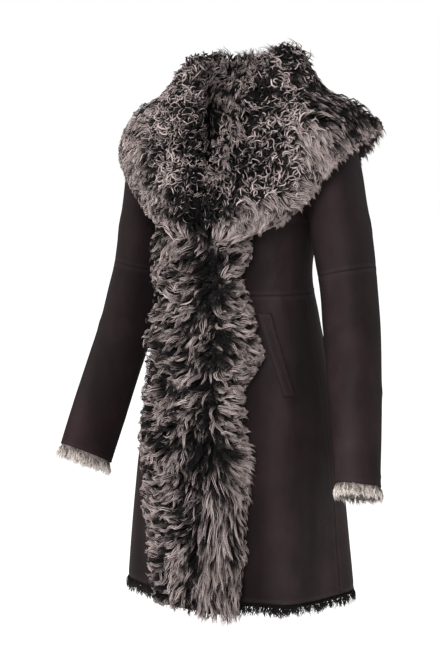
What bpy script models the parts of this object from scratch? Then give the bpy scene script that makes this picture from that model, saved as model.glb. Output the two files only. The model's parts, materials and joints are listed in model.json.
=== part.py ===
"""Shearling coat with a wide fur shawl collar, as the separate pieces it is sewn from.

Metres, +Z up. The front of the coat faces -Y and the wearer's left is +X. The origin is the
middle of the shoulder line, level with the points where the shoulder seams meet the neck.
"""
import bpy
import numpy as np

# ---- driving dimensions -----------------------------------------------------------------
HIDE = 0.003             # wall of the skin with its short inner wool
SEAM_GAP = 0.0003        # space left between two sewn pieces
SEAT_GAP = 0.0006        # space under a piece that lies on a curved panel
ARMHOLE_GAP = 0.0008     # space at the armholes, where the sleeves lean on the bodice
HEM_Z = -0.812
WAIST_Z = -0.322
ARMPIT_Z = -0.205
CHEST_SQUARE = 0.032     # how much fuller than an ellipse a ring is at its corners
PART_X = 0.028           # where the two fronts meet, to the left of the middle
PART_BOW = 0.012         # how much further left they meet at mid skirt
PART_BOW_Z = -0.54
PART_BOW_HEIGHT = 0.13

NECK_X = 0.070           # side of the neckline, on the shoulder line
NECK_BACK_Y = 0.062
NECK_BACK_Z = 0.004
SHOULDER_X = 0.172       # end of the shoulder seam
SHOULDER_Z = -0.043
CHEST_RISE = 0.170       # how strongly the fronts run up before they turn over the shoulder
SHOULDER_TURN = 0.200
NECK_LEAN = 0.03         # how strongly the fronts lean outward along the neckline
NECK_TURN = 0.07         # how strongly the back runs forward and up into the neckline
NECK_RISE = 0.10
NECK_SHARE = 0.42        # share of the back panel's half width that the neckline takes
ARMPIT_BLEND = 0.4       # rise over which a wall's direction turns from the side's to its own
UPPER_ARC = 0.22         # length across an upper panel, from its opening to the armhole

HEM_FUR_LENGTH = 0.016
FUR_DEPTH = 0.010        # the inner fur that shows at the wrists and the hem
CUFF_OUT = (-0.05, 0.1, 0.15, 0.0)   # shares of FUR_DEPTH outside the leather's line, downwards
CUFF_INTO = (1.0, 1.1, 1.0, 0.6)     # and inside it
HEM_INTO = (1.0, 1.0, 0.7)

WELT_WIDTH = 0.020
WELT_THICK = 0.0028
WELT_TOP_Z = -0.350
WELT_BOTTOM_Z = -0.482
WELT_TOP_DEG = 44.5
WELT_BOTTOM_DEG = 58.5

STRIP_TOP_Z = -0.223
STRIP_BOTTOM_Z = -0.832
STRIP_PILE = 0.028       # fur front, standing off the panel at its middle
STRIP_EDGE = 0.012
STRIP_END_SHARE = 0.65   # the pile's share of its height at the strip's ends
STRIP_END_LENGTH = 0.03

COLLAR_PILE = 0.024
COLLAR_ROOT_PILE = 0.003
COLLAR_SEAT = 0.0008
COLLAR_STAND = 0.006     # the collar first rises square off the neckline by this much
COLLAR_SHIFT = PART_X    # the collar closes where the fronts do
SHIFT_OVER = 4.0         # stations over which that shift fades towards the back
EDGE_SHIFT = 0.8         # the outer edge takes this share of it
TURN_OVER = 1.5          # stations over which the collar turns from leaning to standing
COLLAR_KNOTS = (0.0, 0.07, 0.34, 0.70, 1.0)   # where its five lines lie across its width
ROUND_FROM = 0.80        # where the pile starts to round off to the outer edge
EDGE_ROUND = 0.95        # 1 would bring the outer edge down to nothing
FLAT_BY = 0.70           # behind the roll the fleece lies flat, thinner by this share,
FLAT_STATION = 4.8       # round this station
FLAT_ALONG = 1.4         # and as many stations to each side of it,
FLAT_AT = 0.57           # at this share of the collar's width
FLAT_ACROSS = 0.15
RIGHT_CREST = 0.89       # the right half stands this much as high as the left

# Level rings of the body: half width, and depth in front of and behind the side seams.
BODY_COLUMNS = ("z", "half_width", "front", "back")
BODY_RINGS = (
    (-0.850, 0.2030, 0.1520, 0.1520),
    (-0.812, 0.2000, 0.1500, 0.1500),
    (-0.740, 0.1930, 0.1460, 0.1460),
    (-0.660, 0.1860, 0.1410, 0.1400),
    (-0.590, 0.1780, 0.1360, 0.1340),
    (-0.500, 0.1650, 0.1270, 0.1260),
    (-0.420, 0.1510, 0.1150, 0.1140),
    (-0.360, 0.1400, 0.1050, 0.1010),
    (-0.322, 0.1360, 0.1010, 0.0950),
    (-0.280, 0.1345, 0.1030, 0.0930),
    (-0.245, 0.1390, 0.1120, 0.0980),
    (-0.205, 0.1475, 0.1200, 0.1040),
    (-0.170, 0.1500, 0.1220, 0.1060),
)

# Soft vertical folds of the skirt, as angle, half width, depth and the height where each
# starts. Angles are in degrees; ridges are positive, troughs negative.
SKIRT_FOLDS = (
    (34.0, 9.0, -0.0050, -0.46),
    (50.0, 8.0, 0.0060, -0.50),
    (78.0, 12.0, -0.0040, -0.58),
    (104.0, 11.0, 0.0060, -0.52),
    (131.0, 10.0, -0.0045, -0.50),
    (156.0, 11.0, 0.0070, -0.45),
    (181.0, 10.0, -0.0060, -0.48),
    (207.0, 11.0, 0.0065, -0.47),
    (232.0, 10.0, -0.0050, -0.55),
    (262.0, 12.0, 0.0055, -0.50),
    (291.0, 10.0, -0.0045, -0.56),
    (315.0, 9.0, 0.0050, -0.52),
)

# Rings of the left sleeve, as x, y, z, tilt, lift, half width, half depth and turn. Tilt
# lifts the outer side, lift the front side, and turn twists the oval about the vertical.
SLEEVE_RINGS = (
    (0.1598, 0.0000, -0.1240, 81.4, 0.0, 0.0819, 0.0580, 0.0),
    (0.1760, 0.0000, -0.1373, 72.3, 0.0, 0.0790, 0.0600, 0.0),
    (0.1850, 0.0000, -0.1620, 63.0, 0.0, 0.0695, 0.0585, 0.0),
    (0.1925, 0.0000, -0.2080, 44.0, 0.0, 0.0550, 0.0560, 0.0),
    (0.2050, -0.001, -0.2775, 14.0, 2.0, 0.0480, 0.0520, 0.0),
    (0.2165, -0.007, -0.3360, 12.0, 6.0, 0.0470, 0.0490, 0.0),
    (0.2290, -0.0166, -0.3940, 12.0, 12.0, 0.0465, 0.0465, 5.0),
    (0.2445, -0.0350, -0.4610, 12.5, 15.0, 0.0460, 0.0435, 15.0),
    (0.2590, -0.0540, -0.5290, 12.5, 16.0, 0.0460, 0.0395, 28.0),
    (0.2710, -0.0705, -0.5880, 12.5, 16.0, 0.0455, 0.0360, 35.0),
    (0.2745, -0.0755, -0.6060, 12.5, 16.0, 0.0455, 0.0355, 35.0),
    (0.2800, -0.0835, -0.6360, 12.5, 16.0, 0.0460, 0.0355, 35.0),
)
RIGHT_ARM_DROP = 0.012   # the right sleeve hangs this much lower at the wrist
SLEEVE_SEAM = 4.12       # ring number of the cross seam
SLEEVE_END = 10.0        # ring number of the leather's end
CUFF_END = 10.72         # ring number where the fur past the leather ends

# Outer edges of the two fur fronts, as angles from the middle of the front.
STRIP_COLUMNS = ("z", "left_deg", "right_deg", "right_pile")
STRIP_EDGES = (
    (-0.225, 35.0, 36.0, 0.014),
    (-0.248, 35.5, 39.0, 0.018),
    (-0.270, 32.0, 41.0, 0.022),
    (-0.292, 29.0, 42.0, 0.024),
    (-0.322, 32.0, 40.0, 0.020),
    (-0.337, 35.0, 38.0, 0.019),
    (-0.363, 36.5, 37.5, 0.025),
    (-0.386, 38.5, 38.5, 0.028),
    (-0.410, 41.0, 40.0, 0.027),
    (-0.437, 38.0, 38.0, 0.016),
    (-0.464, 31.0, 36.0, 0.014),
    (-0.506, 31.0, 37.0, 0.014),
    (-0.569, 31.5, 34.5, 0.014),
    (-0.626, 31.3, 28.5, 0.014),
    (-0.650, 31.0, 28.5, 0.014),
    (-0.707, 29.5, 23.5, 0.014),
    (-0.776, 28.5, 20.5, 0.014),
    (-0.812, 27.5, 17.5, 0.014),
    (-0.845, 27.0, 16.0, 0.014),
)

# The collar's skin side at stations from its lower front end round to the middle of the
# back: the roll line, the middle of the fall and the outer edge of the fur.
COLLAR_STATIONS = (
    {"crest": (0.020, -0.132, -0.203), "fall": (0.054, -0.129, -0.207), "edge": (0.082, -0.112, -0.214)},
    {"crest": (0.022, -0.134, -0.168), "fall": (0.078, -0.122, -0.178), "edge": (0.129, -0.094, -0.196)},
    {"crest": (0.032, -0.121, -0.108), "fall": (0.104, -0.108, -0.124), "edge": (0.174, -0.080, -0.154)},
    {"crest": (0.050, -0.095, -0.040), "fall": (0.130, -0.084, -0.062), "edge": (0.206, -0.060, -0.114)},
    {"crest": (0.073, -0.044, 0.030), "fall": (0.152, -0.036, -0.025), "edge": (0.232, -0.012, -0.078)},
    {"crest": (0.082, 0.008, 0.060), "fall": (0.166, 0.020, -0.016), "edge": (0.238, 0.046, -0.062)},
    {"crest": (0.062, 0.062, 0.054), "fall": (0.104, 0.086, -0.024), "edge": (0.144, 0.112, -0.118)},
    {"crest": (0.000, 0.086, 0.052), "fall": (0.000, 0.116, -0.016), "edge": (0.000, 0.130, -0.160)},
)
# Where the collar's sewn edge sits at the front stations: the rise along the neckline, and
# metres onto the front panel. From NECK_STATION on it stands on the back neckline.
COLLAR_ROOTS = ((0.00, 0.015), (0.16, 0.012), (0.42, 0.005), (0.70, 0.001), (0.93, 0.0), (1.0, 0.0))
NECK_STATION = 4.5

# ---- grid sizes -------------------------------------------------------------------------
FRONT_COLUMNS = 12
BACK_COLUMNS = 20
HIP_Z = -0.482
HIP_ROWS = 7             # from the waist seam to the hip, where the skirt curves most
SKIRT_ROWS = 6           # from the hip to the hem
WAIST_TO_ARMPIT_ROWS = 4
UPPER_ROWS = 10
SLEEVE_SIDES = 2 * UPPER_ROWS
SLEEVE_ROWS = 7
HEM_SIDES = 48
COLLAR_STEPS = 26        # steps along each half
COLLAR_PROFILE = 13
STRIP_ACROSS = 6
CUFF_ROWS = 3
WELT_ROWS = 8
WELT_ACROSS = 3


# ---- small helpers ----------------------------------------------------------------------
def unit(vectors):
    """Vectors divided by their own length."""
    return vectors / np.linalg.norm(vectors, axis=-1, keepdims=True)


def xyz(x, y, z):
    """Three broadcast coordinates stacked into points."""
    return np.stack(np.broadcast_arrays(x, y, z), axis=-1).astype(float)


def smoothstep(value):
    """0 below 0, 1 above 1, with an even S between."""
    value = np.clip(value, 0.0, 1.0)
    return value * value * (3.0 - 2.0 * value)


def spline(knots, values, where):
    """Cubic through the rows of values, whose slopes are those of the neighbouring rows."""
    knots = np.asarray(knots, float)
    values = np.asarray(values, float)
    where = np.asarray(where, float)
    slopes = np.gradient(values, knots, axis=0)
    index = np.clip(np.searchsorted(knots, where) - 1, 0, len(knots) - 2)
    span = knots[index + 1] - knots[index]
    step = (where - knots[index]) / span
    pad = (1,) * (values.ndim - 1)
    step = step.reshape(step.shape + pad)
    span = span.reshape(span.shape + pad)
    start = values[index]
    end = values[index + 1]
    lead = slopes[index] * span
    trail = slopes[index + 1] * span
    return ((2 * step**3 - 3 * step**2 + 1) * start + (step**3 - 2 * step**2 + step) * lead
            + (3 * step**2 - 2 * step**3) * end + (step**3 - step**2) * trail)


def hermite(start, start_way, end, end_way, step):
    """Cubic from start to end that leaves along start_way and arrives along end_way."""
    return ((2 * step**3 - 3 * step**2 + 1) * start + (step**3 - 2 * step**2 + step) * start_way
            + (3 * step**2 - 2 * step**3) * end + (step**3 - step**2) * end_way)


def normals(surface, u, v, step=1e-4):
    """Unit normals of surface(u, v), from its slopes along u and v."""
    along_u = surface(u + step, v) - surface(u - step, v)
    along_v = surface(u, v + step) - surface(u, v - step)
    return unit(np.cross(along_u, along_v))


# ---- the body ---------------------------------------------------------------------------
BODY = {name: np.array([row[i] for row in BODY_RINGS]) for i, name in enumerate(BODY_COLUMNS)}


def fold_depth(angle, z):
    """Sum of the skirt's folds, each a bell across the angle that deepens towards the hem."""
    total = np.zeros(np.broadcast(angle, z).shape)
    for angle_deg, half_deg, depth, top_z in SKIRT_FOLDS:
        away = np.radians(angle_deg) - angle
        away = (away + np.pi) % (2 * np.pi) - np.pi
        bell = np.exp(-(away / np.radians(half_deg)) ** 2)
        total = total + depth * bell * smoothstep((top_z - z) / (top_z - HEM_Z)) ** 1.5
    return total


def body(angle, z):
    """Point of the body ring at height z, angle 0 at the middle front, 90 degrees at the left."""
    angle, z = np.broadcast_arrays(np.asarray(angle, float), np.asarray(z, float))
    width = spline(BODY["z"], BODY["half_width"], z)
    front = spline(BODY["z"], BODY["front"], z)
    back = spline(BODY["z"], BODY["back"], z)
    depth = np.where(np.cos(angle) > 0, front, back)
    full = 1 + CHEST_SQUARE * np.sin(2 * angle) ** 2 + fold_depth(angle, z) / width
    return xyz(width * np.sin(angle) * full, -depth * np.cos(angle) * full, z)


def body_normal(angle, z):
    """Outward normal of the body ring."""
    return normals(body, np.asarray(angle, float), np.asarray(z, float))


def parting_x(z):
    """Where the two fronts meet at height z."""
    return PART_X + PART_BOW * np.exp(-((z - PART_BOW_Z) / PART_BOW_HEIGHT) ** 2)


def parting_angle(z):
    """The parting as an angle of the body ring."""
    width = spline(BODY["z"], BODY["half_width"], z)
    return np.arcsin(parting_x(z) / width)


def seam_angle(z):
    """Half a seam gap as an angle of the body ring at its side."""
    return 0.5 * SEAM_GAP / spline(BODY["z"], BODY["front"], z)


def parting_gap(z):
    """Half a seam gap as an angle of the body ring at its front."""
    return 0.5 * SEAM_GAP / spline(BODY["z"], BODY["half_width"], z)


# ---- sleeves ----------------------------------------------------------------------------
SLEEVE_KNOTS = np.arange(len(SLEEVE_RINGS), dtype=float)
SLEEVE_VALUES = np.array(SLEEVE_RINGS)


def sleeve(turn_angle, ring, side):
    """Point of a sleeve ring: turn_angle 0 on its outer side, 90 degrees at its front."""
    turn_angle, ring = np.broadcast_arrays(np.asarray(turn_angle, float), np.asarray(ring, float))
    x, y, z, tilt, lift, across, deep, turn = np.moveaxis(spline(SLEEVE_KNOTS, SLEEVE_VALUES, ring), -1, 0)
    if side < 0:
        z = z - RIGHT_ARM_DROP * smoothstep((ring - 3.0) / (SLEEVE_END - 3.0))
    tilt, lift, turn = np.radians(tilt), np.radians(lift), np.radians(turn)
    outer = xyz(np.cos(tilt) * np.cos(turn), -np.cos(tilt) * np.sin(turn),
                np.sin(tilt) + np.cos(tilt) * np.sin(turn) * np.tan(lift))
    front = xyz(-np.cos(lift) * np.sin(turn), -np.cos(lift) * np.cos(turn), np.sin(lift))
    point = (xyz(x, y, z) + outer * (across * np.cos(turn_angle))[..., None]
             + front * (deep * np.sin(turn_angle))[..., None])
    return point * np.array([side, 1.0, 1.0])


def sleeve_normal(turn_angle, ring, side):
    """Outward normal of a sleeve."""
    return side * normals(lambda u, v: sleeve(u, v, side), turn_angle, ring)


def rings_in(length, ring):
    """How many ring numbers a length along the sleeve takes from ring on."""
    middle = spline(SLEEVE_KNOTS, SLEEVE_VALUES[:, :3], np.array([ring, ring + 0.01]))
    return 0.01 * length / np.linalg.norm(middle[1] - middle[0])


# ---- upper bodice -----------------------------------------------------------------------
def upward(angle):
    """Slope of the body at the armpit level, as the way that the strokes leave it."""
    way = body(angle, ARMPIT_Z + 1e-3) - body(angle, ARMPIT_Z - 1e-3)
    return unit(way) * CHEST_RISE


def front_upper(across, rise, side):
    """Front bodice above the armpits: across 0 at the opening and 1 at the armhole."""
    across, rise = np.broadcast_arrays(np.asarray(across, float), np.asarray(rise, float))
    opening = parting_angle(np.array(ARMPIT_Z))

    def strokes(part):
        angle = opening + part * (side * np.pi / 2 - opening)
        start = body(angle, ARMPIT_Z)
        end = xyz(side * (NECK_X + part * (SHOULDER_X - NECK_X)), 0.0, part * SHOULDER_Z)
        leave = upward(angle)
        leave[..., 0] += side * NECK_LEAN * (1 - part)
        arrive = xyz(0.0, SHOULDER_TURN, 0.0)
        return hermite(start, leave, end, arrive, rise[..., None])

    armhole = sleeve(np.pi * (1 - rise), 0.0, side)
    pull = armhole - strokes(np.ones_like(across))
    return strokes(across) + across[..., None] ** 3 * pull


def back_top(part):
    """Top edge of the back: the neckline to NECK_SHARE, then the shoulder seam."""
    along = np.abs(part)
    sweep = np.clip(along / NECK_SHARE, 0.0, 1.0) * np.pi / 2
    seam = np.clip((along - NECK_SHARE) / (1 - NECK_SHARE), 0.0, 1.0)
    x = NECK_X * np.sin(sweep) + seam * (SHOULDER_X - NECK_X)
    return xyz(np.sign(part) * x, NECK_BACK_Y * np.cos(sweep),
               NECK_BACK_Z * np.cos(sweep) + seam * SHOULDER_Z)


def back_upper(across, rise):
    """Back bodice above the armpits: across -1 at the right armhole and 1 at the left."""
    across, rise = np.broadcast_arrays(np.asarray(across, float), np.asarray(rise, float))

    def strokes(part):
        start = body(np.pi - part * np.pi / 2, ARMPIT_Z)
        turn = smoothstep(np.abs(part) / NECK_SHARE)
        arrive = xyz(0.0, -NECK_TURN - (SHOULDER_TURN - NECK_TURN) * turn, NECK_RISE * (1 - turn))
        return hermite(start, upward(np.pi - part * np.pi / 2), back_top(part), arrive, rise[..., None])

    side = np.where(across < 0, -1.0, 1.0)
    armhole = sleeve(np.pi * (1 + rise), 0.0, 1.0) * xyz(side, 1.0, 1.0)
    pull = armhole - strokes(side)
    return strokes(across) + np.abs(across)[..., None] ** 3 * pull


# ---- meshes -----------------------------------------------------------------------------
def shell(name, outer, inner, material, ring=False):
    """Closed body between two grids of points: rows x columns, a ring closes its columns."""
    rows, columns = outer.shape[:2]
    points = np.concatenate([outer.reshape(-1, 3), inner.reshape(-1, 3)])
    index = np.arange(rows * columns).reshape(rows, columns)
    if ring:
        index = np.concatenate([index, index[:, :1]], axis=1)
    back = index + rows * columns
    faces = [quads(index), quads(back)[:, ::-1]]
    faces.append(rim(index[0], back[0]))
    faces.append(rim(index[-1], back[-1])[:, ::-1])
    if not ring:
        faces.append(rim(index[:, 0], back[:, 0])[:, ::-1])
        faces.append(rim(index[:, -1], back[:, -1]))
    mesh = bpy.data.meshes.new(name)
    mesh.from_pydata(points.tolist(), [], np.concatenate(faces).tolist())
    piece = bpy.data.objects.new(name, mesh)
    COAT.objects.link(piece)
    mesh.materials.append(material)
    turn_out(mesh)
    mesh.shade_smooth()
    mesh.set_sharp_from_angle(angle=np.radians(50))
    return piece


def quads(index):
    """Four-sided faces of a grid of vertex numbers."""
    return np.stack([index[:-1, :-1], index[1:, :-1], index[1:, 1:], index[:-1, 1:]], axis=-1).reshape(-1, 4)


def rim(edge, back_edge):
    """Faces that join an edge of the outer grid to the same edge of the inner grid."""
    return np.stack([edge[:-1], edge[1:], back_edge[1:], back_edge[:-1]], axis=-1)


def turn_out(mesh):
    """Flip all faces when the closed body has a negative volume."""
    points = np.empty(len(mesh.vertices) * 3)
    mesh.vertices.foreach_get("co", points)
    points = points.reshape(-1, 3)
    corners = np.array([tuple(face.vertices) for face in mesh.polygons])
    a, b, c, d = (points[corners[:, i]] for i in range(4))
    volume = np.einsum("ij,ij->", a, np.cross(b, c)) + np.einsum("ij,ij->", a, np.cross(c, d))
    if volume < 0:
        mesh.flip_normals()


def material(name, colour, roughness):
    """Plain Principled finish."""
    finish = bpy.data.materials.new(name)
    finish.use_nodes = True
    surface = finish.node_tree.nodes["Principled BSDF"]
    surface.inputs["Base Color"].default_value = (*colour, 1.0)
    surface.inputs["Roughness"].default_value = roughness
    surface.inputs["Metallic"].default_value = 0.0
    finish.diffuse_color = (*colour, 1.0)
    return finish


# ---- pieces -----------------------------------------------------------------------------
def skirt_heights(steps=1):
    """Heights of the skirt's rows from hem to waist seam, close together above the hip."""
    low = np.linspace(HEM_Z, HIP_Z, steps * SKIRT_ROWS + 1)
    high = np.linspace(HIP_Z, WAIST_Z - SEAM_GAP / 2, HIP_ROWS + 1)
    return np.concatenate([low, high[1:]])


def bodice_heights():
    """Heights of the bodice's rows from the waist seam to the armpit."""
    return np.linspace(WAIST_Z + SEAM_GAP / 2, ARMPIT_Z, WAIST_TO_ARMPIT_ROWS + 1)


def panel(name, angle, z, leather):
    """Wall on the body surface over a grid of angles and heights."""
    outer = body(angle, z)
    shell(name, outer, outer - HIDE * body_normal(angle, z), leather)


def make_skirt(leather):
    """Two front panels and the back, from the waist seam to the hem."""
    z = skirt_heights()[:, None]
    open_at = parting_angle(z)
    share = np.linspace(0.0, 1.0, FRONT_COLUMNS + 1)[None, :]
    side = np.pi / 2 - seam_angle(z)
    first = open_at + parting_gap(z)
    panel("front_skirt_left", first + share * (side - first), z, leather)
    first = open_at - parting_gap(z)
    panel("front_skirt_right", first + share * (-side - first), z, leather)
    share = np.linspace(-1.0, 1.0, BACK_COLUMNS + 1)[None, :]
    panel("back_skirt", np.pi - share * (np.pi / 2 - seam_angle(z)), z, leather)


def from_side(low_way, own_way, rise):
    """Wall directions above the armpit: those of its ring at first, then the panel's own."""
    share = smoothstep(rise / ARMPIT_BLEND)[..., None]
    return unit(low_way * (1.0 - share) + own_way * share)


def make_bodice(leather):
    """Fronts with their V neckline, and the back, from the waist seam to the shoulder."""
    z = bodice_heights()[:, None]
    rise = np.linspace(0.0, 1.0, UPPER_ROWS + 1)[1:, None]
    rise[-1] -= 0.5 * SEAM_GAP / SHOULDER_TURN
    edge_gap = 0.5 * SEAM_GAP / UPPER_ARC
    for name, side in (("front_bodice_left", 1.0), ("front_bodice_right", -1.0)):
        share = np.linspace(0.0, 1.0, FRONT_COLUMNS + 1)[None, :]
        first = parting_angle(z) + side * parting_gap(z)
        last = side * (np.pi / 2 - seam_angle(z))
        lower = body(first + share * (last - first), z)
        lower_way = body_normal(first + share * (last - first), z)
        across = edge_gap + share * (1.0 - 2 * edge_gap)
        upper = front_upper(across, rise, side)
        upper_way = side * normals(lambda u, v: front_upper(u, v, side), across, rise)
        upper_way = from_side(lower_way[-1:], upper_way, rise)
        outer = np.concatenate([lower, upper])
        way = np.concatenate([lower_way, upper_way])
        shell(name, outer, outer - HIDE * way, leather)
    neck = np.linspace(0.0, NECK_SHARE, BACK_COLUMNS // 4 + 1)
    seam = np.linspace(NECK_SHARE, 1.0, BACK_COLUMNS // 4 + 3)[1:]
    half = np.concatenate([neck, seam]) * (1.0 - edge_gap)
    share = np.concatenate([-half[:0:-1], half])[None, :]
    angle = np.pi - share * (np.pi / 2 - seam_angle(z)) / np.abs(share).max()
    lower_way = body_normal(angle, z)
    upper_way = from_side(lower_way[-1:], -normals(back_upper, share, rise), rise)
    outer = np.concatenate([body(angle, z), back_upper(share, rise)])
    way = np.concatenate([lower_way, upper_way])
    shell("back_bodice", outer, outer - HIDE * way, leather)


def sleeve_wall(name, rings, side, material_used, out=0.0, into=HIDE):
    """Tube over sleeve rings, from out outside their line to into inside it."""
    angle = np.linspace(0.0, 2 * np.pi, SLEEVE_SIDES, endpoint=False)[None, :]
    ring = np.asarray(rings, float)[:, None]
    line = sleeve(angle, ring, side)
    way = sleeve_normal(angle, ring, side)
    shell(name, line + way * np.reshape(out, (-1, 1, 1)), line - way * np.reshape(into, (-1, 1, 1)),
          material_used, ring=True)


def make_sleeves(leather, cream):
    """Upper and lower sleeve, and the fur that shows past the wrist."""
    first = rings_in(ARMHOLE_GAP, 0.0)
    gap = rings_in(0.5 * SEAM_GAP, SLEEVE_SEAM)
    upper = np.linspace(first, SLEEVE_SEAM - gap, SLEEVE_ROWS + 1)
    lower = np.linspace(SLEEVE_SEAM + gap, SLEEVE_END, SLEEVE_ROWS + 1)
    fur = np.linspace(SLEEVE_END + rings_in(2 * SEAM_GAP, SLEEVE_END), CUFF_END, CUFF_ROWS + 1)
    for word, side in (("left", 1.0), ("right", -1.0)):
        sleeve_wall("sleeve_upper_" + word, upper, side, leather)
        sleeve_wall("sleeve_lower_" + word, lower, side, leather)
        sleeve_wall("cuff_fur_" + word, fur, side, cream,
                    np.array(CUFF_OUT) * FUR_DEPTH, np.array(CUFF_INTO) * FUR_DEPTH)


def make_hem(black):
    """Short band of the inner fur under the skirt's edge, open where the fronts part."""
    z = HEM_Z - SEAM_GAP - np.linspace(0.0, HEM_FUR_LENGTH, 3)[:, None]
    half_gap = 2 * parting_gap(HEM_Z)
    share = np.linspace(0.0, 1.0, HEM_SIDES + 1)[None, :]
    angle = parting_angle(z) + half_gap + share * (2 * np.pi - 2 * half_gap)
    line = body(angle, np.full_like(z, HEM_Z)) * np.array([1.0, 1.0, 0.0]) + xyz(0.0, 0.0, z)
    way = body_normal(angle, np.full_like(z, HEM_Z)) * np.array([1.0, 1.0, 0.0])
    into = np.reshape(HEM_INTO, (-1, 1, 1)) * FUR_DEPTH
    shell("hem_fur", line, line - way * into, black)


def make_fur_fronts(taupe):
    """The two fur edges down the front, domed pads made from the panels' points moved out."""
    below = np.array([STRIP_BOTTOM_Z, 0.5 * (STRIP_BOTTOM_Z + HEM_Z)])
    upper = bodice_heights()
    z = np.concatenate([below, skirt_heights(2), upper[upper < STRIP_TOP_Z], [STRIP_TOP_Z]])[:, None]
    edges = np.array(STRIP_EDGES)[::-1]
    table = {name: spline(edges[:, 0], edges[:, i], z) for i, name in enumerate(STRIP_COLUMNS)}
    share = np.linspace(0.0, 1.0, STRIP_ACROSS + 1)[None, :]
    dome = np.sqrt(np.clip(1.0 - (2.0 * share - 1.0) ** 4, 0.0, 1.0))
    to_end = np.minimum(STRIP_TOP_Z - z, z - STRIP_BOTTOM_Z)
    ends = STRIP_END_SHARE + (1.0 - STRIP_END_SHARE) * smoothstep(to_end / STRIP_END_LENGTH)
    for name, side, reach, edge_pile in (
            ("front_fur_left", 1.0, table["left_deg"], np.full_like(z, STRIP_EDGE)),
            ("front_fur_right", -1.0, table["right_deg"], table["right_pile"])):
        first = parting_angle(z) + 2 * side * parting_gap(z)
        angle = first + share * (side * np.radians(reach) - first)
        line = body(angle, z)
        way = body_normal(angle, z)
        edge = STRIP_EDGE + share * (edge_pile - STRIP_EDGE)
        pile = (edge + (STRIP_PILE - edge) * dome) * ends
        outer = line + way * pile[..., None]
        outer[:, 0, 0] = parting_x(z[:, 0]) + side * SEAM_GAP
        shell(name, outer, line + SEAT_GAP * way, taupe)


def make_pockets(leather):
    """Slanted welts on the front skirts."""
    down = np.linspace(0.0, 1.0, WELT_ROWS + 1)[:, None]
    share = np.linspace(-0.5, 0.5, WELT_ACROSS + 1)[None, :]
    z = WELT_TOP_Z + down * (WELT_BOTTOM_Z - WELT_TOP_Z)
    middle = np.radians(WELT_TOP_DEG + down * (WELT_BOTTOM_DEG - WELT_TOP_DEG))
    around = 0.5 * (spline(BODY["z"], BODY["half_width"], z) + spline(BODY["z"], BODY["front"], z))
    width = WELT_WIDTH / around
    for name, side in (("pocket_welt_left", 1.0), ("pocket_welt_right", -1.0)):
        angle = side * (middle + share * width)
        line = body(angle, z + 0.0 * share)
        way = body_normal(angle, z + 0.0 * share)
        shell(name, line + (SEAT_GAP + WELT_THICK) * way, line + SEAT_GAP * way, leather)


def front_surface(across, rise, side):
    """Front panel from a little under the armpit level (rise below 0) to the shoulder."""
    opening = parting_angle(np.array(ARMPIT_Z))
    low = body(opening + across * (side * np.pi / 2 - opening), ARMPIT_Z + CHEST_RISE * rise)
    return np.where(rise[..., None] < 0, low, front_upper(across, np.maximum(rise, 0.0), side))


def collar_root(station, side):
    """The sewn edge at each station number, and the way in which the collar leaves it."""
    knots = np.array([0.0, 1.0, 2.0, 3.0, 4.0, NECK_STATION])
    rise, inset = spline(knots, COLLAR_ROOTS, np.minimum(station, NECK_STATION)).T
    rise = np.minimum(rise, 1.0)
    front = BODY["front"][-2]
    across = inset / (front * np.abs(side * np.pi / 2 - parting_angle(np.array(ARMPIT_Z))))
    edge = front_surface(across, rise, side)
    away = side * normals(lambda u, v: front_surface(u, v, side), across, np.minimum(rise, 0.999))
    last = len(COLLAR_STATIONS) - 1.0
    part = (last - np.maximum(station, NECK_STATION)) / (last - NECK_STATION)
    round_neck = back_top(side * part * NECK_SHARE)
    on_back = (station > NECK_STATION)[:, None]
    turn = smoothstep((station - NECK_STATION + 1.0) / TURN_OVER)[:, None]
    away = unit(away * (1.0 - turn) + np.array([0.0, 0.0, 1.0]) * turn)
    return np.where(on_back, round_neck, edge) + COLLAR_SEAT * away, away


def collar_lines(side):
    """Five skin-side points for every step of one half, from the front end to the back."""
    last = len(COLLAR_STATIONS) - 1.0
    station = np.linspace(0.0, last, COLLAR_STEPS + 1)
    knots = np.arange(len(COLLAR_STATIONS), dtype=float)
    root, away = collar_root(station, side)
    lines = [root, root + COLLAR_STAND * away]
    shift = COLLAR_SHIFT * (1.0 - smoothstep((station - 1.0) / SHIFT_OVER))
    for key in ("crest", "fall", "edge"):
        row = np.array([place[key] for place in COLLAR_STATIONS])
        mirrored = np.concatenate([row, row[-2:-3:-1] * (-1.0, 1.0, 1.0)])
        line = spline(np.append(knots, last + 1.0), mirrored, station) * (side, 1.0, 1.0)
        line[:, 0] += shift * (EDGE_SHIFT if key == "edge" else 1.0)
        if side < 0:
            line[:, 2] = np.where(line[:, 2] > 0, RIGHT_CREST * line[:, 2], line[:, 2])
        lines.append(line)
    return np.stack(lines, axis=1)


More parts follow.
